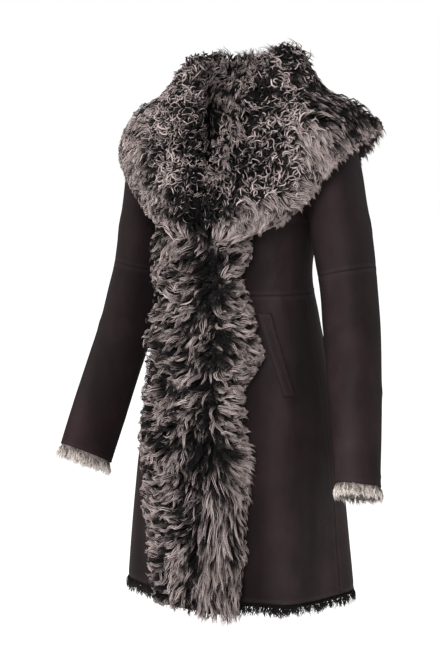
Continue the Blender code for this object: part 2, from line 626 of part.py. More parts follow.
def make_collar(taupe):
    """Shawl collar: the skin side runs from the neckline over a roll and out to its edge."""
    lines = np.concatenate([collar_lines(-1.0), collar_lines(1.0)[-2::-1]])
    q = np.linspace(0.0, 1.0, COLLAR_PROFILE + 1)
    skin = np.moveaxis(spline(COLLAR_KNOTS, np.moveaxis(lines, 1, 0), q), 0, 1)
    along = np.gradient(skin, axis=0)
    across = np.gradient(skin, axis=1)
    way = unit(np.cross(along, across))
    pile = COLLAR_ROOT_PILE + (COLLAR_PILE - COLLAR_ROOT_PILE) * smoothstep(q / COLLAR_KNOTS[2])
    past = np.clip((q - ROUND_FROM) / (1.0 - ROUND_FROM), 0.0, 1.0)
    pile = pile * np.sqrt(1.0 - (EDGE_ROUND * past) ** 2)
    station = np.linspace(0.0, len(COLLAR_STATIONS) - 1.0, COLLAR_STEPS + 1)
    station = np.concatenate([station, station[-2::-1]])[:, None]
    flat = np.exp(-((station - FLAT_STATION) / FLAT_ALONG) ** 2 - ((q - FLAT_AT) / FLAT_ACROSS) ** 2)
    shell("collar", skin + way * (pile * (1.0 - FLAT_BY * flat))[..., None], skin, taupe)


for old in list(bpy.data.objects):
    bpy.data.objects.remove(old)
COAT = bpy.data.collections.new("shearling_coat")
bpy.context.scene.collection.children.link(COAT)
LEATHER = material("leather", (0.030, 0.024, 0.025), 0.55)
TAUPE = material("taupe_fur", (0.30, 0.25, 0.24), 0.90)
CREAM = material("cream_fur", (0.50, 0.44, 0.39), 0.90)
BLACK = material("black_fur", (0.02, 0.02, 0.022), 0.90)
make_skirt(LEATHER)
make_bodice(LEATHER)
make_sleeves(LEATHER, CREAM)
make_hem(BLACK)
make_fur_fronts(TAUPE)
make_pockets(LEATHER)
make_collar(TAUPE)
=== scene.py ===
# %% [markdown]
# # A shearling coat
# The coat is shown as it is worn, with nobody in it: a fitted body and sleeves of dark nappa
# leather, two front edges turned out to show the fleece, and a very wide fleece shawl collar.
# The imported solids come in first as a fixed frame. Each sewn piece below is then made again
# on the same measures with its creases, seams and fleece, and stands for its solid.

# %% The frame and the tools
import json

import bpy
import numpy as np
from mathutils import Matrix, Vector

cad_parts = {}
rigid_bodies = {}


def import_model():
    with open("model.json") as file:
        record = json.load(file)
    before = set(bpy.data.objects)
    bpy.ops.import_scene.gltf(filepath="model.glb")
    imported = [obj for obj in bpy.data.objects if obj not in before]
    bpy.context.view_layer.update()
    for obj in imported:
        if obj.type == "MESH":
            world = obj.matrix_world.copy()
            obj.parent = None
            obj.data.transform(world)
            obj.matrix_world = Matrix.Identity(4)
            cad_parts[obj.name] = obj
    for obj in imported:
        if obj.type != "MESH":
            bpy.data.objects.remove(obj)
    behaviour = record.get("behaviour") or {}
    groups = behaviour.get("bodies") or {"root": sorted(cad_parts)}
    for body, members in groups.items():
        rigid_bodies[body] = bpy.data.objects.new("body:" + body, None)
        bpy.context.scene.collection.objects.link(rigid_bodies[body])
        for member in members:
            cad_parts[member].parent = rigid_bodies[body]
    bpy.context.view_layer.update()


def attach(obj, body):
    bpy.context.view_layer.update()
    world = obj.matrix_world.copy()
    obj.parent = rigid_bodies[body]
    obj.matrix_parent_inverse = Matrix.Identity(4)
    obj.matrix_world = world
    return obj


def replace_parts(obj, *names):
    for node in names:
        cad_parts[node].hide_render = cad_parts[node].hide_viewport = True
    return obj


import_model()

# %% [markdown]
# ## Camera and lamps
# A garment is best judged in even light. A small hard lamp would draw black folds on dark
# leather, so three large soft ones stand round it: one in front and to the side for the shape,
# one that fills its shadows, and a weak one behind for the outline. The camera stands about
# 35 degrees round to the wearer's left, far enough off that the coat looks flat and calm.

# %% Camera
CAMERA_PLACE = (1.4643, -2.1487, -0.1)
CAMERA_TARGET = (-0.0270, -0.0189, -0.39)


def bring_in(name, data):
    """Object in the scene for a camera, a lamp or a mesh."""
    thing = bpy.data.objects.new(name, data)
    bpy.context.scene.collection.objects.link(thing)
    return thing


def aim(thing, place, target):
    """Put a camera or lamp at place and turn its -Z axis towards target."""
    thing.location = place
    way = Vector(target) - Vector(place)
    thing.rotation_euler = way.to_track_quat("-Z", "Y").to_euler()


lens = bpy.data.cameras.new("camera")
lens.lens = 85
lens.sensor_width = 36
camera = bring_in("camera", lens)
aim(camera, CAMERA_PLACE, CAMERA_TARGET)
bpy.context.scene.camera = camera
bpy.context.scene.view_settings.view_transform = "Standard"
print("camera:", lens.lens, "mm lens at", CAMERA_PLACE)

# %% Lamps
LAMPS_AIM = (0, 0, -0.35)
LAMPS = (
    # name, place, width, watts
    ("key", (0.9, -2.7, 1.0), 1.5, 72.0),
    ("fill", (-2.2, -1.7, 0.4), 2.0, 34.0),
    ("rim", (1.6, 2.2, 1.2), 1.6, 22.0),
)
for name, place, width, watts in LAMPS:
    lamp = bpy.data.lights.new(name, "AREA")
    lamp.size = width
    lamp.energy = watts
    aim(bring_in(name, lamp), place, LAMPS_AIM)
print("lamps:", len(LAMPS))

# %% [markdown]
# ## Finishes as sums
# A finish is a small graph of nodes. It could be wired by hand, link after link, but written as
# plain maths it is far easier to read. So one class stands for a socket: adding or multiplying
# two of them adds the Math node that does it. Every other node comes from one method, which
# takes its type, its settings and its sockets.


# %% A socket that can be added and multiplied
class Value:
    """An output socket. Adding, subtracting or multiplying a number or a value adds a Math node."""

    def __init__(self, graph, socket):
        self.graph = graph
        self.socket = socket

    def combine(self, operation, first, second):
        return self.graph.add("Math", {"operation": operation}, {0: first, 1: second})

    def __add__(self, other):
        return self.combine("ADD", self, other)

    def __sub__(self, other):
        return self.combine("SUBTRACT", self, other)

    def __mul__(self, other):
        return self.combine("MULTIPLY", self, other)

    def between(self, low, high, start=0.0, end=1.0):
        """This value mapped from low..high to start..end, and held there."""
        sockets = {"Value": self, "From Min": low, "From Max": high, "To Min": start, "To Max": end}
        return self.graph.add("MapRange", {"clamp": True}, sockets)


class Graph:
    """The nodes of one tree."""

    def __init__(self, tree):
        self.tree = tree

    def add(self, kind, settings=None, sockets=None, output=0):
        """One node: its settings first, then a value or a link for each socket."""
        node = self.tree.nodes.new("ShaderNode" + kind)
        for name, value in (settings or {}).items():
            setattr(node, name, value)
        for name, value in (sockets or {}).items():
            self.put(node.inputs[name], value)
        return Value(self, node.outputs[output])

    def put(self, socket, value):
        """Link a value to a socket, or set the socket's own number."""
        if isinstance(value, Value):
            self.tree.links.new(value.socket, socket)
        else:
            socket.default_value = value


# %% A finish, and what it is made of
class Finish(Graph):
    """A material on one Principled shader, whose plain numbers sit on its own sockets."""

    def __init__(self, name, **fixed):
        self.material = bpy.data.materials.new(name)
        self.material.use_nodes = True
        super().__init__(self.material.node_tree)
        self.surface = self.tree.nodes["Principled BSDF"]
        self.look(**fixed)

    def look(self, **sockets):
        """Set or link the shader's sockets, named in lower case."""
        for name, value in sockets.items():
            name = name.replace("_", " ").title().replace("Ior", "IOR")
            self.put(self.surface.inputs[name], value)
        return self.material

    def where(self):
        """Place on the coat, in metres."""
        return self.add("TexCoord", output="Object")

    def mark(self, word):
        """Value that the mesh holds at its vertices."""
        return self.add("Attribute", {"attribute_name": word}, output="Fac")

    def noise(self, scale, detail=2.0, stretch=(1.0, 1.0, 1.0)):
        """Soft random value from 0 to 1, with bumps about 1 / scale metres wide."""
        where = self.add("VectorMath", {"operation": "MULTIPLY"}, {0: self.where(), 1: stretch})
        return self.add("TexNoise", None, {"Vector": where, "Scale": scale, "Detail": detail})

    def curls(self, scale, thin):
        """1 on thin winding lines, where soft noise crosses its middle, and 0 between them."""
        offset = self.noise(scale, 1.0) - 0.5
        return self.add("Math", {"operation": "ABSOLUTE"}, {0: offset}).between(0.0, thin, 1.0, 0.0)

    def mix(self, share, first, second, blend="MIX"):
        """Colour from first to second, or first times second, as far as share."""
        settings = {"data_type": "RGBA", "blend_type": blend}
        return self.add("Mix", settings, {0: share, 6: first, 7: second}, output=2)

    def grey(self, value):
        """Colour of equal parts."""
        return self.add("CombineColor", None, {"Red": value, "Green": value, "Blue": value})

    def bump(self, height, distance, normal=None):
        """Normal that stands for a height in metres times distance."""
        sockets = {"Height": height, "Distance": distance, "Strength": 1.0}
        if normal:
            sockets["Normal"] = normal
        return self.add("Bump", None, sockets)


# %% [markdown]
# ## A white room
# A studio sweep could be a curved backdrop, but then the light on the coat would hang on its
# shape. Here the sky and the floor are simply white to the camera, and weaker as light on the
# coat, so that the dark leather keeps its depth.

# %% Sky and floor
SKY_LIGHT = 0.30
FLOOR_Z = -1.42
FLOOR_HALF = 30.0
sky = bpy.data.worlds.new("sky")
sky.use_nodes = True
bpy.context.scene.world = sky
sky_graph = Graph(sky.node_tree)
background = sky.node_tree.nodes["Background"]
seen = sky_graph.add("LightPath", output="Is Camera Ray")
sky_graph.put(background.inputs["Strength"], seen.between(0.0, 1.0, SKY_LIGHT, 1.0))
sky_graph.put(background.inputs["Color"], (1, 1, 1, 1))

floor_mesh = bpy.data.meshes.new("floor")
corners = [(x * FLOOR_HALF, y * FLOOR_HALF, FLOOR_Z) for x, y in ((-1, -1), (1, -1), (1, 1), (-1, 1))]
floor_mesh.from_pydata(corners, [], [(0, 1, 2, 3)])
bring_in("floor", floor_mesh)
pale = Finish("pale_floor", roughness=0.9, base_color=(0.9, 0.9, 0.9, 1), emission_color=(1, 1, 1, 1))
seen = pale.add("LightPath", output="Is Camera Ray")
floor_mesh.materials.append(pale.look(emission_strength=seen.between(0.0, 1.0, 0.15, 0.85)))
print("floor at", FLOOR_Z, "m")

# %% [markdown]
# ## Leather
# Nappa is sheepskin with its leather side out: almost black, with a breath of brown and
# violet. One dark colour would look like plastic, because every part of a skin takes the dye
# differently, so two soft patterns mottle it. A third paints the light and shade of soft upright
# folds into it, as long upright bands. It is neither shiny nor dull, and worn lighter beside the
# seams. Shade is painted into it, darker and rougher, where the mark shade says that fur or an arm
# keeps the light off, and over the sleeves and pocket welts. The grain only shows close up, as a bump.


# %% Leather finishes
def nappa(name, dark, light):
    """Dark leather: mottled colour, grain of about 1 mm, worn lighter along the seams."""
    finish = Finish(name, roughness=0.5, specular_ior_level=0.18)
    mottle = finish.noise(14.0, 3.0)
    streak = finish.noise(60.0, 3.0, (1.0, 1.0, 0.25))
    worn = finish.mark("wear")
    share = mottle.between(0.35, 0.65) * 0.65 + streak.between(0.3, 0.7) * 0.35
    colour = finish.mix(share, (*dark, 1), (*light, 1))
    # painted light and shade of soft upright folds: long upright bands up to 30% lighter or darker
    painted_fold_light = finish.noise(11.0, 1.0, (1.0, 1.0, 0.22)).between(0.36, 0.64, 0.70, 1.30)
    colour = finish.mix(1.0, colour, finish.grey(painted_fold_light), "MULTIPLY")
    warm = finish.noise(5.0, 1.0).between(0.4, 0.62)
    colour = finish.mix(warm, colour, (1.10, 0.93, 1.0, 1), "MULTIPLY")
    colour = finish.mix(worn * 0.20, colour, (*[c * 1.9 for c in light], 1))
    # painted shade: darker where the mark shade is set; the same mark makes the leather rougher below
    shaded = finish.mark("shade")
    colour = finish.mix(shaded, colour, (0.42, 0.38, 0.40, 1), "MULTIPLY")
    cells = {"Scale": 950.0, "Vector": finish.where()}
    grain = finish.add("TexVoronoi", {"feature": "DISTANCE_TO_EDGE"}, cells)
    pores = finish.noise(420.0, 2.0)
    normal = finish.bump(grain.between(0.0, 0.25) * 0.5 + pores * 0.5, 0.00022)
    normal = finish.bump(finish.noise(75.0, 3.0), 0.0012, normal)
    rough = share * 0.10 + 0.50 - worn * 0.10 + pores * 0.06 + shaded * 0.40
    return finish.look(base_color=colour, roughness=rough, normal=normal)


def short_wool(name, dark, light):
    """The clipped inner side of a skin: small tufts about 4 mm across."""
    finish = Finish(name, roughness=0.9, specular_ior_level=0.15)
    tufts = finish.add("TexVoronoi", {"feature": "F1"}, {"Vector": finish.where(), "Scale": 260.0})
    height = tufts.between(0.0, 0.9, 1.0, 0.0) * 0.7 + finish.noise(700.0, 2.0) * 0.3
    colour = finish.mix(height, (*dark, 1), (*light, 1))
    return finish.look(base_color=colour, normal=finish.bump(height, 0.003))


LEATHER = nappa("leather", (0.0146, 0.0086, 0.0092), (0.0335, 0.0212, 0.0223))
INNER_WOOL = short_wool("inner_wool", (0.010, 0.010, 0.011), (0.045, 0.042, 0.044))
print("finishes:", LEATHER.name, INNER_WOOL.name)

# %% [markdown]
# ## The measures of the coat
# A coat could be modelled freely and then fitted, but it is simpler to cut it from measures,
# as a tailor does. The body is a stack of level rings, each a half width and the depths in
# front of and behind the side seams. The sleeves are rings of their own, tilted and turned
# along the arm. Both repeat the frame's measures, so each piece lies where its solid lies.

# %% Measures in metres
HEM_Z = -0.812
WAIST_Z = -0.322
ARMPIT_Z = -0.205
CHEST_SQUARE = 0.032      # how much fuller than an ellipse a ring is at its corners
PART_X = 0.028            # where the two fronts meet, to the left of the middle
PART_BOW = 0.012          # how much further left they meet at mid skirt
PART_BOW_Z = -0.54
PART_BOW_HEIGHT = 0.13
NECK_X = 0.070            # side of the neckline, on the shoulder line
NECK_BACK_Y = 0.062
NECK_BACK_Z = 0.004
SHOULDER_X = 0.172        # end of the shoulder seam
SHOULDER_Z = -0.043
CHEST_RISE = 0.170        # how strongly the fronts run up before they turn over the shoulder
SHOULDER_TURN = 0.200
NECK_LEAN = 0.03          # how strongly the fronts lean outward along the neckline
NECK_TURN = 0.07          # how strongly the back runs forward and up into the neckline
NECK_RISE = 0.10
NECK_SHARE = 0.42         # share of the back panel's half width that the neckline takes
RIGHT_ARM_DROP = 0.012    # the right sleeve hangs this much lower at the wrist
DROP_FROM = 3.0           # from this sleeve ring on
SLEEVE_SEAM = 4.12        # sleeve ring of the cross seam
SLEEVE_END = 10.0         # of the leather's end
CUFF_END = 10.72          # and of the end of the fur past it
HALF_TURN = np.pi / 2     # from the middle front to a side seam
SIDES = (("left", 1.0), ("right", -1.0))

BODY_RINGS = np.array((
    # z, half width, front, back
    (-0.850, 0.2030, 0.1520, 0.1520),
    (-0.812, 0.2000, 0.1500, 0.1500),
    (-0.740, 0.1930, 0.1460, 0.1460),
    (-0.660, 0.1860, 0.1410, 0.1400),
    (-0.590, 0.1780, 0.1360, 0.1340),
    (-0.500, 0.1650, 0.1270, 0.1260),
    (-0.420, 0.1510, 0.1150, 0.1140),
    (-0.360, 0.1400, 0.1050, 0.1010),
    (-0.322, 0.1360, 0.1010, 0.0950),
    (-0.280, 0.1345, 0.1030, 0.0930),
    (-0.245, 0.1390, 0.1120, 0.0980),
    (-0.205, 0.1475, 0.1200, 0.1040),
    (-0.170, 0.1500, 0.1220, 0.1060),
))
SKIRT_FOLDS = (
    # middle and half width in degrees, depth, height where it starts
    (34.0, 9.0, -0.0050, -0.46),
    (50.0, 8.0, 0.0060, -0.50),
    (78.0, 12.0, -0.0040, -0.58),
    (104.0, 11.0, 0.0060, -0.52),
    (131.0, 10.0, -0.0045, -0.50),
    (156.0, 11.0, 0.0070, -0.45),
    (181.0, 10.0, -0.0060, -0.48),
    (207.0, 11.0, 0.0065, -0.47),
    (232.0, 10.0, -0.0050, -0.55),
    (262.0, 12.0, 0.0055, -0.50),
    (291.0, 10.0, -0.0045, -0.56),
    (315.0, 9.0, 0.0050, -0.52),
)
SLEEVE_RINGS = np.array((
    # x, y, z, tilt, lift, half width, half depth, turn
    (0.1598, 0.0000, -0.1240, 81.4, 0.0, 0.0819, 0.0580, 0.0),
    (0.1760, 0.0000, -0.1373, 72.3, 0.0, 0.0790, 0.0600, 0.0),
    (0.1850, 0.0000, -0.1620, 63.0, 0.0, 0.0695, 0.0585, 0.0),
    (0.1925, 0.0000, -0.2080, 44.0, 0.0, 0.0550, 0.0560, 0.0),
    (0.2050, -0.001, -0.2775, 14.0, 2.0, 0.0480, 0.0520, 0.0),
    (0.2165, -0.007, -0.3360, 12.0, 6.0, 0.0470, 0.0490, 0.0),
    (0.2290, -0.0166, -0.3940, 12.0, 12.0, 0.0465, 0.0465, 5.0),
    (0.2445, -0.0350, -0.4610, 12.5, 15.0, 0.0460, 0.0435, 15.0),
    (0.2590, -0.0540, -0.5290, 12.5, 16.0, 0.0460, 0.0395, 28.0),
    (0.2710, -0.0705, -0.5880, 12.5, 16.0, 0.0455, 0.0360, 35.0),
    (0.2745, -0.0755, -0.6060, 12.5, 16.0, 0.0455, 0.0355, 35.0),
    (0.2800, -0.0835, -0.6360, 12.5, 16.0, 0.0460, 0.0355, 35.0),
))
print("body rings:", len(BODY_RINGS), "sleeve rings:", len(SLEEVE_RINGS))


# %% Curves through measures
def unit(vectors):
    """Vectors divided by their own length."""
    return vectors / np.maximum(np.linalg.norm(vectors, axis=-1, keepdims=True), 1e-12)


def xyz(x, y, z):
    """Three coordinates, stretched to the same shape and stacked into points."""
    return np.stack(np.broadcast_arrays(x, y, z), axis=-1).astype(float)


def smoothstep(value):
    """0 below 0, 1 above 1, and between them 3 v squared minus 2 v cubed."""
    value = np.clip(value, 0.0, 1.0)
    return value * value * (3.0 - 2.0 * value)


def hermite(start, start_way, end, end_way, step):
    """Cubic from start to end that leaves along start_way and arrives along end_way."""
    return ((2 * step**3 - 3 * step**2 + 1) * start + (step**3 - 2 * step**2 + step) * start_way
            + (3 * step**2 - 2 * step**3) * end + (step**3 - step**2) * end_way)


def spline(knots, values, where):
    """Cubic through the rows of values, whose slope at each knot is that of its neighbours."""
    knots = np.asarray(knots, float)
    values = np.asarray(values, float)
    where = np.asarray(where, float)
    slopes = np.gradient(values, knots, axis=0)
    index = np.clip(np.searchsorted(knots, where) - 1, 0, len(knots) - 2)
    span = knots[index + 1] - knots[index]
    step = (where - knots[index]) / span
    pad = (1,) * (values.ndim - 1)
    step = step.reshape(step.shape + pad)
    span = span.reshape(span.shape + pad)
    return hermite(values[index], slopes[index] * span, values[index + 1], slopes[index + 1] * span, step)


def slopes_normal(surface, u, v, step=1e-4):
    """Unit normal of surface(u, v): the cross product of its slopes along u and along v."""
    along_u = surface(u + step, v) - surface(u - step, v)
    along_v = surface(u, v + step) - surface(u, v - step)
    return unit(np.cross(along_u, along_v))


print("half width at the waist:", spline(BODY_RINGS[:, 0], BODY_RINGS[:, 1], WAIST_Z), "m")


# %% The body's surface
def fold_depth(angle, z):
    """Sum of the skirt's folds, each a bell across the angle that deepens towards the hem."""
    total = np.zeros(np.broadcast(angle, z).shape)
    for middle, half, depth, top_z in SKIRT_FOLDS:
        away = (np.radians(middle) - angle + np.pi) % (2 * np.pi) - np.pi
        bell = np.exp(-(away / np.radians(half)) ** 2)
        total = total + depth * bell * smoothstep((top_z - z) / (top_z - HEM_Z)) ** 1.5
    return total


def body(angle, z):
    """Ring at height z: width sin a, depth cos a, both times 1 + fullness sin squared 2a."""
    angle, z = np.broadcast_arrays(np.asarray(angle, float), np.asarray(z, float))
    width, front, back = np.moveaxis(spline(BODY_RINGS[:, 0], BODY_RINGS[:, 1:], z), -1, 0)
    depth = np.where(np.cos(angle) > 0, front, back)
    full = 1 + CHEST_SQUARE * np.sin(2 * angle) ** 2 + fold_depth(angle, z) / width
    return xyz(width * np.sin(angle) * full, -depth * np.cos(angle) * full, z)


def body_normal(angle, z):
    """Outward normal of the body ring."""
    return slopes_normal(body, np.asarray(angle, float), np.asarray(z, float))


def parting_angle(z):
    """Where the two fronts meet, as an angle: arcsine of the parting's x over the half width."""
    x = PART_X + PART_BOW * np.exp(-((z - PART_BOW_Z) / PART_BOW_HEIGHT) ** 2)
    return np.arcsin(x / spline(BODY_RINGS[:, 0], BODY_RINGS[:, 1], z))


def line_length(line):
    """Sum of a line's steps, in metres."""
    return np.linalg.norm(np.diff(line, axis=0), axis=-1).sum()


for word, z in (("waist", WAIST_Z), ("hem", HEM_Z)):
    print(f"round the {word}: {line_length(body(np.linspace(0.0, 2 * np.pi, 361), z)):.3f} m")


# %% The sleeve's surface
def sleeve(turn_angle, ring, side):
    """Oval ring: middle + outer half width cos a + front half depth sin a, mirrored by side."""
    turn_angle, ring = np.broadcast_arrays(np.asarray(turn_angle, float), np.asarray(ring, float))
    knots = np.arange(len(SLEEVE_RINGS))
    x, y, z, tilt, lift, across, deep, turn = np.moveaxis(spline(knots, SLEEVE_RINGS, ring), -1, 0)
    if side < 0:
        z = z - RIGHT_ARM_DROP * smoothstep((ring - DROP_FROM) / (SLEEVE_END - DROP_FROM))
    tilt, lift, turn = np.radians(tilt), np.radians(lift), np.radians(turn)
    outer = xyz(np.cos(tilt) * np.cos(turn), -np.cos(tilt) * np.sin(turn),
                np.sin(tilt) + np.cos(tilt) * np.sin(turn) * np.tan(lift))
    front = xyz(-np.cos(lift) * np.sin(turn), -np.cos(lift) * np.cos(turn), np.sin(lift))
    point = (xyz(x, y, z) + outer * (across * np.cos(turn_angle))[..., None]
             + front * (deep * np.sin(turn_angle))[..., None])
    return point * np.array([side, 1.0, 1.0])


print(f"outside of the arm: {line_length(sleeve(0.0, np.linspace(0.0, SLEEVE_END, 101), 1.0)):.3f} m")


# %% The bodice above the armpits
def upward(angle):
    """How the strokes leave the ring at the armpit: its slope, CHEST_RISE long."""
    return unit(body(angle, ARMPIT_Z + 1e-3) - body(angle, ARMPIT_Z - 1e-3)) * CHEST_RISE


def front_upper(across, rise, side):
    """Cubic strokes from the armpit ring to the shoulder line, pulled onto the armhole."""
    across, rise = np.broadcast_arrays(np.asarray(across, float), np.asarray(rise, float))
    opening = parting_angle(np.array(ARMPIT_Z))

    def strokes(part):
        angle = opening + part * (side * HALF_TURN - opening)
        end = xyz(side * (NECK_X + part * (SHOULDER_X - NECK_X)), 0.0, part * SHOULDER_Z)
        leave = upward(angle)
        leave[..., 0] += side * NECK_LEAN * (1 - part)
        return hermite(body(angle, ARMPIT_Z), leave, end, xyz(0.0, SHOULDER_TURN, 0.0), rise[..., None])

    pull = sleeve(np.pi * (1 - rise), 0.0, side) - strokes(np.ones_like(across))
    return strokes(across) + across[..., None] ** 3 * pull


def back_top(part):
    """Top edge of the back: a quarter sweep round the neck, then the shoulder seam."""
    along = np.abs(part)
    sweep = np.clip(along / NECK_SHARE, 0.0, 1.0) * HALF_TURN
    seam = np.clip((along - NECK_SHARE) / (1 - NECK_SHARE), 0.0, 1.0)
    x = NECK_X * np.sin(sweep) + seam * (SHOULDER_X - NECK_X)
    return xyz(np.sign(part) * x, NECK_BACK_Y * np.cos(sweep),
               NECK_BACK_Z * np.cos(sweep) + seam * SHOULDER_Z)


def back_upper(across, rise):
    """The same strokes for the back, from the right armhole at -1 to the left at 1."""
    across, rise = np.broadcast_arrays(np.asarray(across, float), np.asarray(rise, float))

    def strokes(part):
        angle = np.pi - part * HALF_TURN
        turn = smoothstep(np.abs(part) / NECK_SHARE)
        arrive = xyz(0.0, -NECK_TURN - (SHOULDER_TURN - NECK_TURN) * turn, NECK_RISE * (1 - turn))
        return hermite(body(angle, ARMPIT_Z), upward(angle), back_top(part), arrive, rise[..., None])

    side = np.where(across < 0, -1.0, 1.0)
    armhole = sleeve(np.pi * (1 + rise), 0.0, 1.0) * xyz(side, 1.0, 1.0)
    return strokes(across) + np.abs(across)[..., None] ** 3 * (armhole - strokes(side))


print(f"shoulder seam: {line_length(back_top(np.linspace(NECK_SHARE, 1.0, 21))):.3f} m")

# %% [markdown]
# ## Cloth with a wall
# A sewn piece could be one sheet given its thickness by a Solidify modifier. Here it is worked
# out as one closed skin, which is easy to measure and takes another finish on its woolly side: a
# grid of points for the leather, and the same grid moved in by the thickness. Near its edges the
# leather dips towards the seam, so grid lines lie close together there and wide apart elsewhere.


# %% Grids and their normals
def close_at_ends(count, length, nearest=0.0012, steps=4):
    """Shares from 0 to 1: even, with extra lines that double their distance from both ends."""
    near = nearest / length * 2.0 ** np.arange(steps)
    even = np.linspace(0.0, 1.0, count + 1)
    even = even[(even == 0) | (even == 1) | ((even > near[-1] * 1.4) & (even < 1 - near[-1] * 1.4))]
    return np.unique(np.concatenate([even, near, 1.0 - near]))


def quads(index):
    """Four-sided faces of a grid of vertex numbers."""
    return np.stack([index[:-1, :-1], index[1:, :-1], index[1:, 1:], index[:-1, 1:]], -1).reshape(-1, 4)


def strip(edge, other):
    """Faces between two lines of vertices."""
    return np.stack([edge[:-1], edge[1:], other[1:], other[:-1]], -1)


def edge_distance(points, ring):
    """Metres from each grid point to the nearest edge, measured along the grid's lines."""
    down = np.linalg.norm(np.diff(points, axis=0), axis=-1)
    down = np.concatenate([np.zeros((1, points.shape[1])), np.cumsum(down, axis=0)])
    near = np.minimum(down, down[-1] - down)
    if ring:
        return near
    over = np.linalg.norm(np.diff(points, axis=1), axis=-1)
    over = np.concatenate([np.zeros((points.shape[0], 1)), np.cumsum(over, axis=1)], axis=1)
    return np.minimum(near, np.minimum(over, over[:, -1:] - over))


def grid_normals(points, ring, outwards):
    """Normals of a grid of points: cross product of its two steps, turned to face outwards."""
    if ring:
        wrapped = np.concatenate([points[:, -1:], points, points[:, :1]], axis=1)
        over = wrapped[:, 2:] - wrapped[:, :-2]
    else:
        over = np.gradient(points, axis=1)
    return unit(np.cross(np.gradient(points, axis=0), over)) * outwards


print("grid lines close to a seam:", [round(float(share), 3) for share in close_at_ends(4, 0.1)])


# %% Meshes and closed skins
def put_mesh(name, points, faces, finishes, marks, finish_of_face=None):
    """Object from points and a list of face arrays; marks are values held by its vertices."""
    mesh = bpy.data.meshes.new(name)
    counts = np.concatenate([np.full(len(part), part.shape[1]) for part in faces])
    corners = np.concatenate([part.ravel() for part in faces])
    mesh.vertices.add(len(points))
    mesh.vertices.foreach_set("co", np.asarray(points, np.float32).ravel())
    mesh.loops.add(len(corners))
    mesh.loops.foreach_set("vertex_index", corners.astype(np.int32))
    mesh.polygons.add(len(counts))
    mesh.polygons.foreach_set("loop_start", (np.cumsum(counts) - counts).astype(np.int32))
    if finish_of_face is not None:
        mesh.polygons.foreach_set("material_index", finish_of_face.astype(np.int32))
    mesh.update(calc_edges=True)
    for finish in finishes:
        mesh.materials.append(finish)
    for word, values in marks.items():
        values = values.astype(np.float32).ravel()
        mesh.attributes.new(word, "FLOAT", "POINT").data.foreach_set("value", values)
    mesh.shade_smooth()
    piece = bring_in(name, mesh)
    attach(piece, "root")
    return piece


def volume(points, faces):
    """Signed volume of a closed skin of four-sided faces, above 0 when they face outwards."""
    a, b, c, d = (points[faces[:, i]] for i in range(4))
    return (np.einsum("ij,ij->", a, np.cross(b, c)) + np.einsum("ij,ij->", a, np.cross(c, d))) / 6


def closed_skin(name, outer, inner, finishes, marks, ring=False):
    """Skin of two grids, the second finish on the inner one, joined by walls round the edges."""
    points = np.concatenate([outer.reshape(-1, 3), inner.reshape(-1, 3)])
    index = np.arange(outer[..., 0].size).reshape(outer.shape[:2])
    if ring:
        index = np.concatenate([index, index[:, :1]], axis=1)
    back = index + outer[..., 0].size
    faces = [quads(index), quads(back)[:, ::-1],
             strip(index[0], back[0]), strip(index[-1], back[-1])[:, ::-1]]
    if not ring:
        faces += [strip(index[:, 0], back[:, 0])[:, ::-1], strip(index[:, -1], back[:, -1])]
    side = np.concatenate([np.full(len(part), int(i == 1)) for i, part in enumerate(faces)])
    faces = np.concatenate(faces)
    if volume(points, faces) < 0:
        faces = faces[:, ::-1]
    marks = {word: np.tile(values.ravel(), 2) for word, values in marks.items()}
    piece = put_mesh(name, points, [faces], finishes, marks, side)
    area = sum(face.area for face in piece.data.polygons) / 2
    print(f"{name}: {2 * len(faces)} triangles, cloth {area:.4f} m2")
    return piece


def cloth_wall(name, outer, wall, outwards, finishes, marks, ring=False):
    """Closed skin between a grid and the same grid moved in by the wall's thickness."""
    inner = outer - grid_normals(outer, ring, outwards) * wall
    return closed_skin(name, outer, inner, finishes, marks, ring)


# %% [markdown]
# ## Creases and seams
# Thick leather does not wrinkle finely. It takes a few long soft folds where the arm bends and
# where the coat is drawn in at the waist, and small puckers where two layers are sewn. Cloth
# simulation makes the fine creases of thin cloth, so each fold here is listed one by one instead:
# its middle, its tilt, its length, its width and its depth. The stitches beside the seams are
# noted as each piece is made, and sewn all at once at the end.


# %% Creases
def creases(table, across, along):
    """Sum of bent bells: depth exp(-(v / width)^2) exp(-(u / length)^4), u along the fold."""
    total = np.zeros(np.broadcast(across, along).shape)
    for middle, height, tilt, length, width, depth, bend in table:
        right = across - middle
        rise = along - height
        turned = np.radians(tilt)
        u = right * np.cos(turned) + rise * np.sin(turned)
        v = rise * np.cos(turned) - right * np.sin(turned) - bend * u**2
        total = total + depth * np.exp(-(v / width) ** 2 - (u / length) ** 4)
    return total


def puckers(points, near, every=0.011, depth=0.0005, reach=0.010):
    """Ripples along a seam, depth high at its edge, gone about two reaches away."""
    phase = points @ np.array((1.0, 0.7, 0.9)) * 2 * np.pi / every
    varied = 0.6 + 0.4 * np.sin(points @ np.array((31.0, 17.0, 23.0)))
    return depth * np.sin(phase) * varied * np.exp(-near / reach)


print("a fold at its middle:", creases([(0, 0, 0, 0.1, 0.01, 0.002, 0)], 0.0, 0.0), "m")

# %% Sewn leather
SEAM_DIP = 0.00035        # how deep the leather dips to a seam, and over what width
SEAM_WIDTH = 0.0022
WEAR_WIDTH = 0.0040       # distance from the seam at which it is most worn
LEATHER_WALL = 0.0026
STITCH_PITCH = 0.0040
STITCH_LENGTH = 0.0031
THREAD_WIDTH = 0.0005
SEWING = []               # every row of stitches, as middle lines


